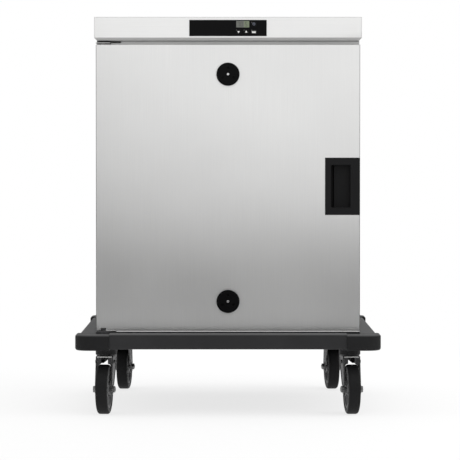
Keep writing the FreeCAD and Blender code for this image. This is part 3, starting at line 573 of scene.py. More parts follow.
core_plastic = moulded_plastic("core_plastic", (0.19, 0.19, 0.193), (0.3, 0.3, 0.3), 0.5, grain=500.0)
HUB_RADIUS = 0.0485
HUB_WIDTH = 0.028
RIM_WIDTH = 0.006
HOLLOW_WIDTH = 0.0275
HOLLOW_DEPTH = 0.007
RIB_COUNT = 6
RIB_X = 0.0095
RIB_HALF = (0.003, 0.002)
RIB_Z = (0.0135, 0.0435)
BORE_RADIUS = 0.00508
core = rod("core", "x", HUB_RADIUS, (0, AXLE_Y, AXLE_Z), HUB_WIDTH, 72)
for side in (-1, 1):
    choose_faces(core, lambda middle, normal: normal.x * side > 0.9)
    sink(RIM_WIDTH, (-side * HOLLOW_DEPTH, 0, 0))
    sink(HOLLOW_WIDTH, (side * HOLLOW_DEPTH, 0, 0))
    close_edit()
soften(core, 0.0009, 2)
to_axle = Matrix.Translation((0, AXLE_Y, AXLE_Z))
ribs = []
for number in range(RIB_COUNT):
    turn = Matrix.Rotation(number * 2 * math.pi / RIB_COUNT, 4, "X")
    for side in (-1, 1):
        x = side * RIB_X
        rib = block(
            "rib", (x - RIB_HALF[0], -RIB_HALF[1], RIB_Z[0]), (x + RIB_HALF[0], RIB_HALF[1], RIB_Z[1]),
        )
        soften(rib, 0.0006, 1)
        rib.data.transform(to_axle @ turn)
        ribs.append(rib)
core_bore = rod("core_bore", "x", BORE_RADIUS, (0, AXLE_Y, AXLE_Z), 0.05)
carve(core, "DIFFERENCE", core_bore)
core_master = joined("core_master", core, *ribs)
at_corners(core_master, "wheel_core", core_plastic, "wheel", "hub_grey", "wheel_hub")


# Tyres: a band of black rubber bonded round each core, round at the shoulders.
# A shallow moulded groove runs round each side wall, and the side walls are a paler grey than the tread.

TYRE_RADIUS = 0.0625
TYRE_WIDTH = 0.030
TYRE_BAND = 0.0139
GROOVE_MARGIN = 0.0022
GROOVE_DEPTH = 0.0006


def rubber(name, colour, rubbed_colour):
    """Dull rubber with a coarse moulded skin."""
    return moulded_plastic(
        name, colour, rubbed_colour, 0.62, grain=420.0, relief=0.0002, specular=0.15,
    )


tyre_rubber = rubber("tyre_rubber", (0.0105, 0.0105, 0.011), (0.035, 0.034, 0.032))
tyre = rod("tyre", "x", TYRE_RADIUS, (0, AXLE_Y, AXLE_Z), TYRE_WIDTH, 96)
choose_faces(tyre, lambda middle, normal: abs(normal.x) > 0.9)
bpy.ops.mesh.inset(thickness=TYRE_BAND)
bpy.ops.mesh.bridge_edge_loops()
close_edit()


def from_axle(point):
    """How far a point lies from the wheel's axis."""
    return math.hypot(point.y - AXLE_Y, point.z - AXLE_Z)


soften(tyre, 0.006, 6, where=lambda middle: from_axle(middle) > 0.058)
soften(tyre, 0.0008, 1, where=lambda middle: from_axle(middle) < 0.052)
for side in (-1, 1):
    choose_faces(tyre, lambda middle, normal: normal.x * side > 0.99 and from_axle(middle) > 0.05)
    sink(GROOVE_MARGIN, (-side * GROOVE_DEPTH, 0, 0))
    close_edit()
flank_faces = [face.index for face in tyre.data.polygons if abs(face.normal.x) > 0.93]
flank_rubber = rubber("flank_rubber", (0.125, 0.125, 0.126), (0.15, 0.15, 0.15))
at_corners(tyre, "tyre", tyre_rubber, "wheel", "tyre_rubber", "caster_tyre", flank_rubber, flank_faces)


# Outer casing: sides, back and bottom of the cabinet, folded from one brushed stainless sheet.
# Its grain runs upright. Blind rivets hold the back sheet along its edges.

grain_effect, ends_in, ends_out = new_effect(
    "brushed_grain", {"Across X": 1300.0, "Across Y": 1300.0, "Across Z": 7.0}, ["Line", "Cloud"],
)
place = add_node(grain_effect, "ShaderNodeTexCoord").outputs["Object"]
stretch = add_node(
    grain_effect, "ShaderNodeCombineXYZ",
    {axis: ends_in.outputs[f"Across {axis}"] for axis in "XYZ"},
)
drawn_out = add_node(
    grain_effect, "ShaderNodeVectorMath", {0: place, 1: stretch.outputs["Vector"]}, operation="MULTIPLY",
)
lines = add_node(
    grain_effect, "ShaderNodeTexNoise",
    {"Vector": drawn_out.outputs["Vector"], "Scale": 1.0, "Detail": 3.0, "Roughness": 0.6},
)
clouds = add_node(grain_effect, "ShaderNodeTexNoise", {"Vector": place, "Scale": 3.2, "Detail": 5.0})
grain_effect.links.new(lines.outputs["Fac"], ends_out.inputs["Line"])
grain_effect.links.new(clouds.outputs["Fac"], ends_out.inputs["Cloud"])

UPRIGHT_GRAIN = (1300.0, 1300.0, 7.0)
LEVEL_GRAIN = (7.0, 1300.0, 1300.0)
DEEP_GRAIN = (1300.0, 7.0, 1300.0)


def brushed_steel(name, colour, roughness, grain, relief=0.00003, fold=0.0022):
    """Brushed stainless steel: drawn lines in its colour, gloss and relief, wiping marks, and painted
    shade darkening its folds, which are also rougher.
    """
    finish, tree, shader = new_finish(name, {"Metallic": 1.0})
    brushed = use_effect(tree, grain_effect)
    for axis, scale in zip("XYZ", grain):
        brushed.inputs[f"Across {axis}"].default_value = scale
    lined = blend_colours(tree, brushed.outputs["Line"], *tones(colour, 0.93, 1.06))
    wiped = add_node(
        tree, "ShaderNodeMapRange",
        {"Value": brushed.outputs["Cloud"], "From Min": 0.35, "From Max": 0.75, "To Max": 0.35},
    )
    smudged = blend_colours(tree, wiped.outputs["Result"], lined, *tones(colour, 0.9))
    # Painted shade: the colour is halved along every fold, within the fold width.
    edge_masks = use_effect(tree, edge_band_effect, Width=fold)
    dulled_or_shaded = blend_colours(tree, edge_masks.outputs["Edge"], smudged, *tones(colour, 0.5))
    tree.links.new(dulled_or_shaded, shader.inputs["Base Color"])
    fine = spread(tree, brushed.outputs["Line"], roughness - 0.06, roughness + 0.06)
    smeared = add_node(
        tree, "ShaderNodeMath", {0: wiped.outputs["Result"], 1: 0.16, 2: fine}, operation="MULTIPLY_ADD",
    )
    matted = add_node(
        tree, "ShaderNodeMath", {0: edge_masks.outputs["Edge"], 1: 0.15, 2: smeared.outputs["Value"]},
        operation="MULTIPLY_ADD",
    )
    tree.links.new(matted.outputs["Value"], shader.inputs["Roughness"])
    emboss(tree, shader, brushed.outputs["Line"], 0.35, relief)
    return finish


casing_steel = brushed_steel("casing_steel", (0.66, 0.66, 0.655), 0.36, UPRIGHT_GRAIN)
dressed("outer_casing", "casing_sheet", casing_steel, "cabinet", "brushed_stainless", edge=0.0005)

rivet_steel = brushed_steel("rivet_steel", (0.66, 0.66, 0.655), 0.26, LEVEL_GRAIN)
RIVET_Y = 0.3948
RIVET_RADIUS = 0.004
RIVET_HEIGHT = 0.0016
UPRIGHT_X = 0.322
UPRIGHT_LOW = 0.235
UPRIGHT_STEP = 0.0845
UPRIGHT_COUNT = 9
LEVEL_Z = (0.222, 0.925)
LEVEL_LEFT = -0.215
LEVEL_STEP = 0.1075
LEVEL_COUNT = 5
rivet = rod("rivet", "y", RIVET_RADIUS, (0, RIVET_Y, 0), RIVET_HEIGHT, 24)
soften(rivet, 0.0012, 3, where=lambda middle: middle.y > RIVET_Y + 0.0002)
choose_faces(rivet, lambda middle, normal: normal.y > 0.9)
sink(0.001, (0, -RIVET_HEIGHT / 2, 0))
close_edit()
rows = []
for side in (-1, 1):
    rows += [(side * UPRIGHT_X, UPRIGHT_LOW + UPRIGHT_STEP * step) for step in range(UPRIGHT_COUNT)]
for z in LEVEL_Z:
    rows += [(LEVEL_LEFT + LEVEL_STEP * step, z) for step in range(LEVEL_COUNT)]
heads = []
for x, z in rows:
    head = bpy.data.objects.new("rivet_head", rivet.data.copy())
    bpy.context.scene.collection.objects.link(head)
    head.data.transform(Matrix.Translation((x, 0, z)))
    heads.append(head)
bpy.data.objects.remove(rivet)
fit(joined("back_rivets", *heads), rivet_steel, "cabinet", "brushed_stainless")


# Front frame: the stainless face round the chamber's mouth, which the door's gasket closes on.
# Folded from the same sheet and spot welded to casing and liner; the lintel over the door is painted
# darker, as shade.

frame_steel = brushed_steel("frame_steel", (0.66, 0.66, 0.655), 0.34, LEVEL_GRAIN)
LINTEL_BACK = -0.3365
LINTEL_DROP = 0.0022
mouth = merged_copy("front_frame", "mouth_frame")
choose_faces(mouth, lambda middle, normal: normal.z < -0.9 and middle.y < LINTEL_BACK and middle.z > 0.93)
bpy.ops.transform.translate(value=(0, 0, -LINTEL_DROP))
close_edit()
soften(mouth, 0.0004)
fit(mouth, frame_steel, "cabinet", "brushed_stainless", "front_frame")


def two_finishes(piece, second, test):
    """Gives the faces whose middle passes the test a second finish."""
    piece.data.materials.append(second)
    for face in piece.data.polygons:
        if test(face.center):
            face.material_index = len(piece.data.materials) - 1


FAINT_GRAIN = 0.000005
# Painted shade: the lintel's colour is darker than the frame's, for the shade in the gap over the door.
shaded_lintel_steel = brushed_steel(
    "shaded_lintel_steel", (0.46, 0.46, 0.456), 0.36, LEVEL_GRAIN, relief=FAINT_GRAIN, fold=0.0006,
)
two_finishes(mouth, shaded_lintel_steel, lambda middle: middle.y < LINTEL_BACK)


# Inner liner: the chamber's seamless box, smooth mill finished stainless with brushed welds.
# Wool slabs and heater mats lie behind it, out of sight.

liner_steel = brushed_steel("liner_steel", (0.57, 0.57, 0.565), 0.27, DEEP_GRAIN)
dressed("inner_liner", "chamber_liner", liner_steel, "cabinet", "liner_steel", edge=0.0004)


def dress_node(node, finish):
    """Gives a CAD node that stays a finish of its own."""
    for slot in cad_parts[node].material_slots:
        slot.material = finish


wool = moulded_plastic(
    "mineral_wool", (0.42, 0.36, 0.22), (0.5, 0.44, 0.3), 0.93, grain=160.0, relief=0.002,
)
dress_node("insulation", wool)
silicone = moulded_plastic("heater_silicone", (0.42, 0.10, 0.05), (0.5, 0.16, 0.09), 0.6, grain=340.0)
dress_node("heater_mats", silicone)


# Electronics tray: a plain galvanised plate, the floor of the bay under the top cover.
# It lies on the wool and fits inside the casing.

tray_zinc = zinc_plate("tray_zinc", (0.48, 0.49, 0.50), 0.42)
dressed("electronics_tray", "bay_tray", tray_zinc, "cabinet", "brushed_stainless", edge=0.0004)


# Pan rack: four folded posts against the liner, and the ledges that the pans slide on.
# Stainless sheet with rounded folds; the ledges are spot welded to the posts.

rack_steel = brushed_steel("rack_steel", (0.62, 0.62, 0.615), 0.30, UPRIGHT_GRAIN)
dressed("rack_posts", "pan_posts", rack_steel, "cabinet", "liner_steel", edge=0.0015)
ledge_steel = brushed_steel("ledge_steel", (0.62, 0.62, 0.615), 0.30, DEEP_GRAIN)
dressed("pan_runners", "pan_ledges", ledge_steel, "cabinet", "liner_steel", edge=0.0005)


# Temperature probe: a polished stainless rod with rounded ends.
# Two clips hold it to the chamber's back wall.

probe_steel = brushed_steel("probe_steel", (0.68, 0.68, 0.675), 0.2, LEVEL_GRAIN)
dressed("temperature_probe", "probe_rod", probe_steel, "cabinet", "liner_steel", edge=0.001)


# Top cover: the stainless cap over the controls, folded down on all sides.
# A slanted chin closes it under its front and is painted darker as shade, while the front face is painted
# paler as light; its grain runs across.

cover_steel = brushed_steel("cover_steel", (0.64, 0.64, 0.635), 0.38, LEVEL_GRAIN)
COVER_X = 0.336
COVER_Y = 0.398
COVER_TOP = 1.0
CHIN_TOP = 0.9479
NEAR = 0.0004


def on_cover_outside(middle):
    """True on the folds of the cap and of its chin that show."""
    at_side = abs(abs(middle.x) - COVER_X) < NEAR
    at_end = abs(abs(middle.y) - COVER_Y) < NEAR
    at_top = middle.z > COVER_TOP - NEAR
    return at_side + at_end + at_top > 1


cover = dressed(
    "top_cover", "cover_cap", cover_steel, "cabinet", "brushed_stainless", edge=0.0005,
    where=on_cover_outside,
)
# Painted shade: the chin's colour is darker than the cap's.
shaded_chin_steel = brushed_steel(
    "shaded_chin_steel", (0.50, 0.50, 0.496), 0.34, LEVEL_GRAIN, relief=FAINT_GRAIN, fold=0.0006,
)
two_finishes(cover, shaded_chin_steel, lambda middle: middle.z < CHIN_TOP)
# Painted light: the front face's colour is paler than the rest of the cap, with a wide band of painted
# shade along its folds.
lit_face_steel = brushed_steel("lit_face_steel", (0.88, 0.88, 0.874), 0.38, LEVEL_GRAIN, fold=0.0035)
two_finishes(cover, lit_face_steel, lambda middle: middle.y < -COVER_Y + 0.0003 and middle.z > CHIN_TOP)


# Control panel: a black plate with a printed film over it, set in the cover's front.
# It has a display window and four raised keys; the board behind it is out of sight.

panel_film = moulded_plastic(
    "panel_film", (0.0045, 0.0045, 0.0048), (0.012, 0.012, 0.012), 0.42, grain=900.0, specular=0.05,
)
FILM_Y = -0.3995
dressed(
    "control_panel", "panel_plate", panel_film, "cabinet", "panel_film", edge=0.0003,
    where=lambda middle: middle.y < FILM_Y,
)

board_green = moulded_plastic("board_green", (0.015, 0.09, 0.035), (0.3, 0.28, 0.1), 0.35, grain=120.0)
dress_node("control_board", board_green)


# Display window: a liquid crystal glass, grey on its left and lit yellow green on its right.
# Its digits are dark bars under the glass.

LIT_FROM = 0.0385
LIT_TO = 0.0415
display_glass, tree, shader = new_finish("display_glass", {"Roughness": 0.22, "Emission Strength": 0.06})
place = add_node(tree, "ShaderNodeTexCoord").outputs["Object"]
sideways = add_node(tree, "ShaderNodeSeparateXYZ", {"Vector": place}).outputs["X"]
lit_half = add_node(
    tree, "ShaderNodeMapRange", {"Value": sideways, "From Min": LIT_FROM, "From Max": LIT_TO},
)
dots = add_node(tree, "ShaderNodeTexNoise", {"Vector": place, "Scale": 900.0, "Detail": 2.0})
grey_side = blend_colours(tree, dots.outputs["Fac"], (0.105, 0.11, 0.10), (0.13, 0.135, 0.12))
green_side = blend_colours(tree, dots.outputs["Fac"], (0.135, 0.165, 0.105), (0.165, 0.195, 0.125))
lcd = blend_colours(tree, lit_half.outputs["Result"], grey_side, green_side)
tree.links.new(lcd, shader.inputs["Base Color"])
tree.links.new(lcd, shader.inputs["Emission Color"])
dressed("display_window", "display_pane", display_glass, "cabinet", "display_glass", edge=0.0003)

digit_ink = moulded_plastic("digit_ink", (0.05, 0.055, 0.045), (0.06, 0.06, 0.05), 0.4)
PANE_FRONT = -0.4000
DIGIT_LOW = 0.9765
DIGIT_HEIGHT = 0.0100
BAR_SHARE = 0.2
# Steps to the right, half heights up, and whether the bar lies level.
BARS = {
    "a": (0, 2, 1), "b": (1, 1, 0), "c": (1, 0, 0), "d": (0, 0, 1),
    "e": (0, 0, 0), "f": (0, 1, 0), "g": (0, 1, 1),
}


def digit(lit, left, width):
    """The lit bars of one seven-bar digit."""
    thick = width * BAR_SHARE
    half = DIGIT_HEIGHT / 2
    parts = []
    for bar in lit:
        right, up, level = BARS[bar]
        x = left + right * (width - thick)
        z = DIGIT_LOW + up * half
        if level:
            corner = (left + thick * 0.5, z - thick * 0.5)
            reach = (width - thick, thick)
        else:
            corner = (x, z + thick * 0.3)
            reach = (thick, half - thick * 0.6)
        part = block(
            "bar", (corner[0], PANE_FRONT - 0.00012, corner[1]),
            (corner[0] + reach[0], PANE_FRONT + 0.0002, corner[1] + reach[1]),
        )
        parts.append(part)
    return parts


bars = digit("abc", 0.0235, 0.0055) + digit("abcdef", 0.0312, 0.0055) + digit("acdfg", 0.0430, 0.0052)
for bar in bars:
    soften(bar, 0.0001, 1)
fit(joined("display_digits", *bars), digit_ink, "cabinet", "display_glass")


# Keys: four raised film keys, each with a printed mark and a small lamp at its upper left.
# They are down, up, set and power; the marks are pale ink.

key_film = moulded_plastic(
    "key_film", (0.0048, 0.0048, 0.0052), (0.014, 0.014, 0.014), 0.45, grain=900.0, specular=0.06,
)
mark_ink = moulded_plastic("mark_ink", (0.72, 0.72, 0.70), (0.6, 0.6, 0.6), 0.5)
power_ink = moulded_plastic("power_ink", (0.26, 0.28, 0.34), (0.2, 0.2, 0.25), 0.5)
lamp_lens = moulded_plastic("lamp_lens", (0.20, 0.20, 0.19), (0.2, 0.2, 0.2), 0.25)
KEY_FRONT = -0.4008
KEY_LOW_Z = 0.9625
KEY_HIGH_Z = 0.9823
KEYS = {
    "down": (0.0265, KEY_LOW_Z), "up": (0.0457, KEY_LOW_Z),
    "set": (0.0649, KEY_LOW_Z), "power": (0.0649, KEY_HIGH_Z),
}
INK = 0.0002
ARROW_RADIUS = 0.0036
RING_RADIUS = 0.0029
RING_WIRE = 0.00045
RING_GAP = 0.0013
STEM_HALF = 0.0004
LAMP_RADIUS = 0.0008
LAMP_LEFT = 0.0052
LAMP_RISE = 0.0042


def key_mark(key, x, z):
    """The printed mark of one key."""
    front = KEY_FRONT - INK / 2 + 0.00005
    if key in ("down", "up"):
        mark = rod("mark", "y", ARROW_RADIUS, (x, front, z), INK, 3)
        if key == "down":
            about = Matrix.Translation((x, 0, z))
            mark.data.transform(about @ Matrix.Scale(-1, 4, (0, 0, 1)) @ about.inverted())
            mark.data.flip_normals()
        return mark
    if key == "set":
        near, far = front - INK / 2, front + INK / 2
        low = block("mark", (x - 0.0048, near, z - 0.0031), (x + 0.0048, far, z + 0.0007))
        rim = block("rim", (x - 0.0056, near, z + 0.0012), (x + 0.0056, far, z + 0.0020))
        return joined("mark", low, rim)
    bpy.ops.object.select_all(action="DESELECT")
    bpy.ops.mesh.primitive_torus_add(
        location=(x, KEY_FRONT, z), rotation=TURN_TO["y"], major_radius=RING_RADIUS,
        minor_radius=RING_WIRE, major_segments=40, minor_segments=8,
    )
    ring = settle("mark")
    choose_faces(ring, lambda middle, normal: middle.z > z and abs(middle.x - x) < RING_GAP)
    bpy.ops.mesh.delete(type="FACE")
    bpy.ops.mesh.select_all(action="SELECT")
    bpy.ops.mesh.fill_holes(sides=0)
    close_edit()
    stem = block(
        "stem", (x - STEM_HALF, KEY_FRONT - 0.0003, z + 0.0006),
        (x + STEM_HALF, KEY_FRONT + 0.0001, z + 0.0038),
    )
    return joined("mark", ring, stem)


for key, (x, z) in KEYS.items():
    dressed(
        f"{key}_button", f"{key}_key", key_film, f"{key}_button", "button_film", edge=0.0004,
        where=lambda middle: middle.y < PANE_FRONT,
    )
    mark = key_mark(key, x, z)
    mark.name = f"{key}_mark"
    fit(mark, power_ink if key == "power" else mark_ink, f"{key}_button", "button_film")
    lamp_place = (x - LAMP_LEFT, KEY_FRONT - 0.0001, z + LAMP_RISE)
    lamp = rod(f"{key}_lamp", "y", LAMP_RADIUS, lamp_place, 0.0004, 20)
    soften(lamp, 0.00012, 2)
    fit(lamp, lamp_lens, f"{key}_button", "button_film")


# Cable gland: a black nylon screw gland for the mains lead.
# Its tail goes through the back of the cover and of the casing.

gland_nylon = moulded_plastic("gland_nylon", (0.013, 0.013, 0.0135), (0.05, 0.05, 0.05), 0.5)
dressed("cable_gland", "gland_body", gland_nylon, "cabinet", "black_moulding", edge=0.0012, segments=3)


# Deck skirts: a painted steel strip welded under each long edge of the deck, between its blocks.
# They close the slit over the side rails, which lie lower than the deck.

SKIRT_INNER = 0.3295
SKIRT_OUTER = 0.3317
SKIRT_REACH = 0.2815
SKIRT_Z = (0.195, 0.2039)
for tag, side in (("left", -1), ("right", 1)):
    near, far = sorted((side * SKIRT_INNER, side * SKIRT_OUTER))
    skirt = block(f"deck_skirt_{tag}", (near, -SKIRT_REACH, SKIRT_Z[0]), (far, SKIRT_REACH, SKIRT_Z[1]))
    soften(skirt, 0.0004, 1)
    fit(skirt, deck_paint, "cabinet", "deck_paint")


# Hinge: an upper bracket on the front frame and a lower one on the deck, each with a steel pin.
# The pins turn in bronze bushes let into the door's corners.

hinge_steel = zinc_plate("hinge_steel", (0.42, 0.42, 0.425), 0.4)
for end in ("top", "bottom"):
    dressed(
        f"hinge_bracket_{end}", f"pivot_bracket_{end}", hinge_steel, "cabinet", "hinge_steel", edge=0.0006,
    )
dressed("hinge_pins", "pivot_pins", hinge_steel, "cabinet", "hinge_steel", edge=0.0006)
bronze = zinc_plate("bush_bronze", (0.10, 0.095, 0.088), 0.42, (0.2, 0.185, 0.165))
dressed("hinge_bushes", "pivot_bushes", bronze, "door", "bush_bronze", edge=0.0005)


# Door sheet: the door's front and its four folded sides, one brushed stainless sheet.
# It is cut away for the handle, the vents and the pivots, and its folds are gently rounded.

DOOR_LOW = (-0.332, -0.394, 0.211)
DOOR_HIGH = (0.332, -0.344, 0.931)
SHEET = 0.0012
door_steel = brushed_steel("door_steel", (0.83, 0.83, 0.824), 0.40, UPRIGHT_GRAIN, fold=0.0003)
# Painted shade: a darker copy of the door's steel for its rounded front corners.
shaded_fold_steel = brushed_steel("shaded_fold_steel", (0.30, 0.30, 0.298), 0.45, UPRIGHT_GRAIN, fold=0.0003)
door = block("door_sheet", DOOR_LOW, DOOR_HIGH)
choose_faces(door, lambda middle, normal: normal.y > 0.9)
bpy.ops.mesh.delete(type="FACE")
close_edit()
soften(door, 0.0015, 3, where=lambda middle: middle.y < DOOR_HIGH[1] - SHEET)
alone(door)
thicken = door.modifiers.new("thicken", "SOLIDIFY")
thicken.thickness = SHEET
thicken.offset = -1
thicken.use_even_offset = True
bpy.ops.object.modifier_apply(modifier="thicken")
GAP = 0.0001
CUT_FRONT = -0.41
HANDLE_LEFT = 0.244
HANDLE_BACK = -0.355
HANDLE_Z = (0.503, 0.647)
VENT_RADIUS = 0.0241
VENT_Z = {"top": 0.8565, "bottom": 0.2855}
PIVOT = (-0.314, -0.376)
PIVOT_RADIUS = 0.0071
FOLD_X = 0.3306
FOLD_Y = -0.3922
openings = [block(
    "handle_cut", (HANDLE_LEFT - GAP, CUT_FRONT, HANDLE_Z[0] - GAP),
    (0.345, HANDLE_BACK + GAP, HANDLE_Z[1] + GAP),
)]
openings += [rod("vent_cut", "y", VENT_RADIUS, (0, -0.37, z), 0.1) for z in VENT_Z.values()]
openings += [rod("pivot_cut", "z", PIVOT_RADIUS, (*PIVOT, z), 0.02) for z in (DOOR_LOW[2], DOOR_HIGH[2])]
openings.append(block("pivot_notch", (-0.320, CUT_FRONT, 0.205), (-0.307, -0.385, 0.2185)))
carve(door, "DIFFERENCE", *openings)
fit(door, door_steel, "door", "brushed_stainless", "door_skin")
# Painted shade: the rounded side folds of the door's front take the darker steel.
two_finishes(door, shaded_fold_steel, lambda middle: abs(middle.x) > FOLD_X and middle.y < FOLD_Y)


# Pivot socket: a blackened steel plate in the notch of the door's lower left corner.
# It closes the wool off there and holds the lower bush.

socket_paint = painted_steel("socket_paint", (0.035, 0.035, 0.036), 0.5)
socket = block("pivot_socket", (-0.3199, -0.3936, 0.2113), (-0.3071, -0.3905, 0.2184))
soften(socket, 0.0003, 1)
fit(socket, socket_paint, "door", "hinge_steel")


# Door hem: a bright rolled edge along the foot of the door's front, slanted on its upper side.
# Its upper side throws the light up. Near the pivot it is cut short, to pass over the lower bracket.

hem_steel = brushed_steel(
    "hem_steel", (0.80, 0.80, 0.794), 0.22, LEVEL_GRAIN, relief=FAINT_GRAIN, fold=0.0002,
)
HEM_FRONT = -0.3962
HEM_BACK = -0.3935
NOSE_SHARE = 0.3
HEM_SPANS = {"door_hem": (-0.2812, 0.3315, 0.2085, 0.2115), "hem_end": (-0.3135, -0.2810, 0.2108, 0.2123)}
hems = []
for name, (left, right, low, high) in HEM_SPANS.items():
    hems.append(block(name, (left, HEM_FRONT, low), (right, HEM_BACK, high)))
    choose_faces(hems[-1], lambda middle, normal: normal.y < -0.9)
    bpy.ops.transform.resize(value=(1, 1, NOSE_SHARE), center_override=(0, HEM_FRONT, low + 0.0004))
    close_edit()
hem, hem_end = hems
carve(hem, "UNION", hem_end)
soften(hem, 0.0002, 2)
fit(hem, hem_steel, "door", "brushed_stainless")


# Door lining: the plain stainless panel that closes the door's back over a slab of wool.
# It fits inside the folded sides of the door sheet.

dress_node("door_insulation", wool)
lining_steel = brushed_steel("lining_steel", (0.57, 0.57, 0.565), 0.3, UPRIGHT_GRAIN)
dressed("door_inner_panel", "door_lining", lining_steel, "door", "liner_steel", edge=0.0003)


# Gasket: a frame of soft grey silicone with rounded edges, bonded to the door's back.
# It closes on the front frame, and a magnet strip inside it holds the door shut.

gasket_rubber = moulded_plastic(
    "gasket_rubber", (0.06, 0.06, 0.062), (0.09, 0.09, 0.09), 0.66, grain=420.0,
)
dressed("door_gasket", "door_seal", gasket_rubber, "door", "gasket_rubber", edge=0.0022, segments=3)


# Handle: a black moulded housing let into the door's free edge, with a pocket for the fingers.
# The grip is the lip on the pocket's left, undercut behind.

handle_plastic = moulded_plastic(
    "handle_plastic", (0.0087, 0.0087, 0.0091), (0.03, 0.03, 0.03), 0.46, specular=0.12,
)
dressed("handle_housing", "handle_grip", handle_plastic, "door", "black_moulding", edge=0.0014, segments=3)


# Vents: a black seat let through the door, and a turning disc on it held by a bright screw.
# The disc's three ports meet the seat's when it is turned.

vent_plastic = moulded_plastic(
    "vent_plastic", (0.003, 0.003, 0.0032), (0.012, 0.012, 0.012), 0.44, specular=0.06,
)
screw_steel = brushed_steel("screw_steel", (0.78, 0.78, 0.775), 0.24, LEVEL_GRAIN)
DISC_FRONT = -0.3993
DISC_REAR = -0.3953
DISC_MIDDLE = (DISC_FRONT + DISC_REAR) / 2
DISC_RADIUS = 0.029
DISC_RIM = 0.0042
DISC_DISH = 0.0007
CENTRE_RADIUS = 0.0026
PORT_RADIUS = 0.004
PORT_RING = 0.016
PORT_TURNS = (90, 210, 330)
CUT_LENGTH = 0.02
HEAD_RADIUS = 0.0032
HEAD_Y = -0.4006
STEM_RADIUS = 0.0025
SLOT_FRONT = -0.403
SLOT_BACK = -0.4009
SLOT_REACH = 0.0024
SLOT_HALF = 0.0004
screw_heads = []
for end, z in VENT_Z.items():
    dressed(f"vent_seat_{end}", f"vent_sleeve_{end}", vent_plastic, "door", "black_moulding", edge=0.0004)

    disc = rod(f"vent_dial_{end}", "y", DISC_RADIUS, (0, DISC_MIDDLE, z), DISC_REAR - DISC_FRONT, 96)
    choose_faces(disc, lambda middle, normal: normal.y < -0.9)
    sink(DISC_RIM, (0, DISC_DISH, 0))
    bpy.ops.mesh.inset(thickness=0.0006)
    close_edit()
    soften(disc, 0.0006, 2)
    tools = [rod("centre_cut", "y", CENTRE_RADIUS, (0, DISC_REAR, z), CUT_LENGTH, 32)]
    for turn in PORT_TURNS:
        angle = math.radians(turn)
        spot = (PORT_RING * math.cos(angle), DISC_REAR, z + PORT_RING * math.sin(angle))
        tools.append(rod("port_cut", "y", PORT_RADIUS, spot, CUT_LENGTH, 32))
    carve(disc, "DIFFERENCE", *tools)
    fit(disc, vent_plastic, f"vent_disc_{end}", "black_moulding", f"vent_disc_{end}")

    head = rod("screw_head", "y", HEAD_RADIUS, (0, HEAD_Y, z), 0.002, 40)
    soften(head, 0.0011, 4, where=lambda middle: middle.y < HEAD_Y)
    cross = [
        block("slot_cut", (-reach, SLOT_FRONT, z - rise), (reach, SLOT_BACK, z + rise))
        for reach, rise in ((SLOT_REACH, SLOT_HALF), (SLOT_HALF, SLOT_REACH))
    ]
    carve(head, "DIFFERENCE", *cross)
    stem = rod("screw_stem", "y", STEM_RADIUS, (0, DISC_REAR, z), 0.0086, 24)
    screw_heads += [head, stem]
fit(joined("vent_screw_pair", *screw_heads), screw_steel, "door", "brushed_stainless", "vent_screws")


# Studio: a pale floor that fades into a white surround, and a soft lamp in front, behind and on each
# side. Low cards stand all round; only shiny pieces mirror them, and they cast no shadow and give no
# light, so they are painted reflections that darken the door's lower part, the rails and the forks.

FLOOR_RADIUS = 4.0
FADE_FROM = 1.0
FADE_TO = 2.6
bpy.ops.object.select_all(action="DESELECT")
bpy.ops.mesh.primitive_circle_add(vertices=96, radius=FLOOR_RADIUS, fill_type="NGON", location=(0, 0, 0))
floor = settle("studio_floor")
floor_white, tree, shader = new_finish(
    "floor_white", {"Base Color": (0.93, 0.93, 0.93, 1), "Roughness": 0.95, "Specular IOR Level": 0.0},
)
place = add_node(tree, "ShaderNodeTexCoord").outputs["Object"]
outwards = add_node(tree, "ShaderNodeVectorMath", {0: place}, operation="LENGTH").outputs["Value"]
fade = add_node(
    tree, "ShaderNodeMapRange",
    {"Value": outwards, "From Min": FADE_FROM, "From Max": FADE_TO, "To Min": 1.0, "To Max": 0.0},
    interpolation_type="SMOOTHSTEP",
)
clear = add_node(tree, "ShaderNodeBsdfTransparent")


def seen_rays(tree):
    """One for what the camera sees, straight or by mirror or glass, and nought for other light."""
    rays = add_node(tree, "ShaderNodeLightPath").outputs
    direct = add_node(
        tree, "ShaderNodeMath", {0: rays["Is Camera Ray"], 1: rays["Is Glossy Ray"]}, operation="MAXIMUM",
    )
    return add_node(
        tree, "ShaderNodeMath", {0: direct.outputs["Value"], 1: rays["Is Transmission Ray"]},
        operation="MAXIMUM",
    ).outputs["Value"]


WHITENING = 0.75
glow = add_node(tree, "ShaderNodeEmission", {"Strength": 1.0})
share = spread(tree, seen_rays(tree), 0.0, WHITENING)
whitened = add_node(
    tree, "ShaderNodeMixShader", {0: share, 1: shader.outputs["BSDF"], 2: glow.outputs["Emission"]},
)
mixed = add_node(
    tree, "ShaderNodeMixShader",
    {0: fade.outputs["Result"], 1: clear.outputs["BSDF"], 2: whitened.outputs["Shader"]},
)
tree.links.new(mixed.outputs["Shader"], tree.nodes["Material Output"].inputs["Surface"])
floor.data.materials.append(floor_white)

world = bpy.data.worlds.new("studio")
bpy.context.scene.world = world
world.use_nodes = True
tree = world.node_tree
AMBIENT = 0.75
level = spread(tree, seen_rays(tree), AMBIENT, 1.0)
surround = tree.nodes["Background"]
surround.inputs["Color"].default_value = (1, 1, 1, 1)
tree.links.new(level, surround.inputs["Strength"])


def soft_lamp(name, place, target, width, height, power):
    """A soft rectangular lamp that faces a point and that nothing mirrors."""
    lamp = bpy.data.lights.new(name, "AREA")
    lamp.shape = "RECTANGLE"
    lamp.size = width
    lamp.size_y = height
    lamp.energy = power
    holder = bpy.data.objects.new(name, lamp)
    holder.location = place
    holder.rotation_mode = "QUATERNION"
    holder.rotation_quaternion = (Vector(target) - Vector(place)).to_track_quat("-Z", "Y")
    holder.visible_camera = False
    holder.visible_glossy = False
    bpy.context.scene.collection.objects.link(holder)


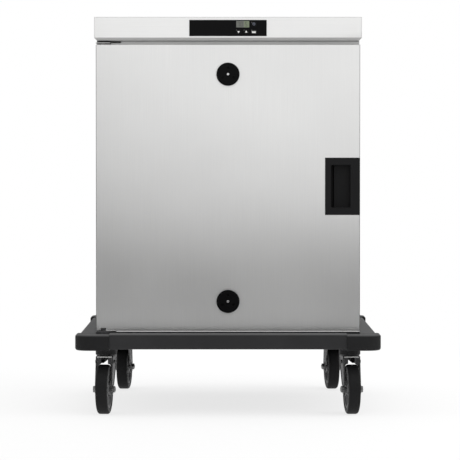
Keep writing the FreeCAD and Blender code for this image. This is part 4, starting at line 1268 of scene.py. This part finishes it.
soft_lamp("front_lamp", (1.0, -2.0, 2.3), (0, -0.4, 0.85), 3.4, 1.6, 22)
soft_lamp("left_lamp", (-2.4, -0.4, 1.6), (0, 0, 0.5), 1.2, 1.6, 8)
soft_lamp("right_lamp", (2.4, -0.4, 1.6), (0, 0, 0.5), 1.2, 1.6, 14)
soft_lamp("rear_lamp", (0, 2.4, 1.9), (0, 0, 0.5), 1.8, 1.2, 22)

CARDS = {
    "dark_card": ((-1.5, -1.12, 0.082), (1.7, -1.1, 0.43), 0.01),
    "low_card": ((0.40, -1.12, 0.004), (1.7, -1.1, 0.082), 0.01),
    "grey_card": ((-1.9, -1.42, 0.30), (-0.38, -1.4, 0.86), 0.45),
    "left_card": ((-1.32, -0.9, 0.02), (-1.3, 1.3, 0.46), 0.2),
    "right_card": ((1.3, -0.9, 0.02), (1.32, 1.3, 0.46), 0.2),
    "rear_card": ((-1.2, 1.3, 0.02), (1.2, 1.32, 0.46), 0.2),
}
# Painted reflection: each card shows only in glossy reflections, never to the camera, to diffuse light or
# to shadows.
for name, (low, high, shade) in CARDS.items():
    card = block(name, low, high)
    matt = {"Base Color": (shade, shade, shade, 1), "Roughness": 0.9}
    card.data.materials.append(new_finish(f"{name}_paint", matt)[0])
    for sight in ("visible_camera", "visible_diffuse", "visible_shadow", "visible_transmission"):
        setattr(card, sight, False)


# Camera: far off with a long lens, a little above half height.
# It looks almost level at the front, and slightly down.

FOCAL_PIXELS = 2707
FRAME_PIXELS = 460
SENSOR = 36.0
CAMERA_PLACE = (0, -7.2, 0.647)
AIM_RIGHT_PIXELS = 2.0
AIM_DOWN_PIXELS = 72.3
lens = bpy.data.cameras.new("camera")
lens.sensor_width = SENSOR
lens.lens = SENSOR * FOCAL_PIXELS / FRAME_PIXELS
lens.clip_end = 200
camera = bpy.data.objects.new("camera", lens)
camera.location = CAMERA_PLACE
aim = Vector((AIM_RIGHT_PIXELS / FOCAL_PIXELS, 1, -AIM_DOWN_PIXELS / FOCAL_PIXELS))
camera.rotation_mode = "QUATERNION"
camera.rotation_quaternion = aim.to_track_quat("-Z", "Y")
bpy.context.scene.collection.objects.link(camera)
bpy.context.scene.camera = camera
bpy.context.scene.view_settings.view_transform = "Standard"
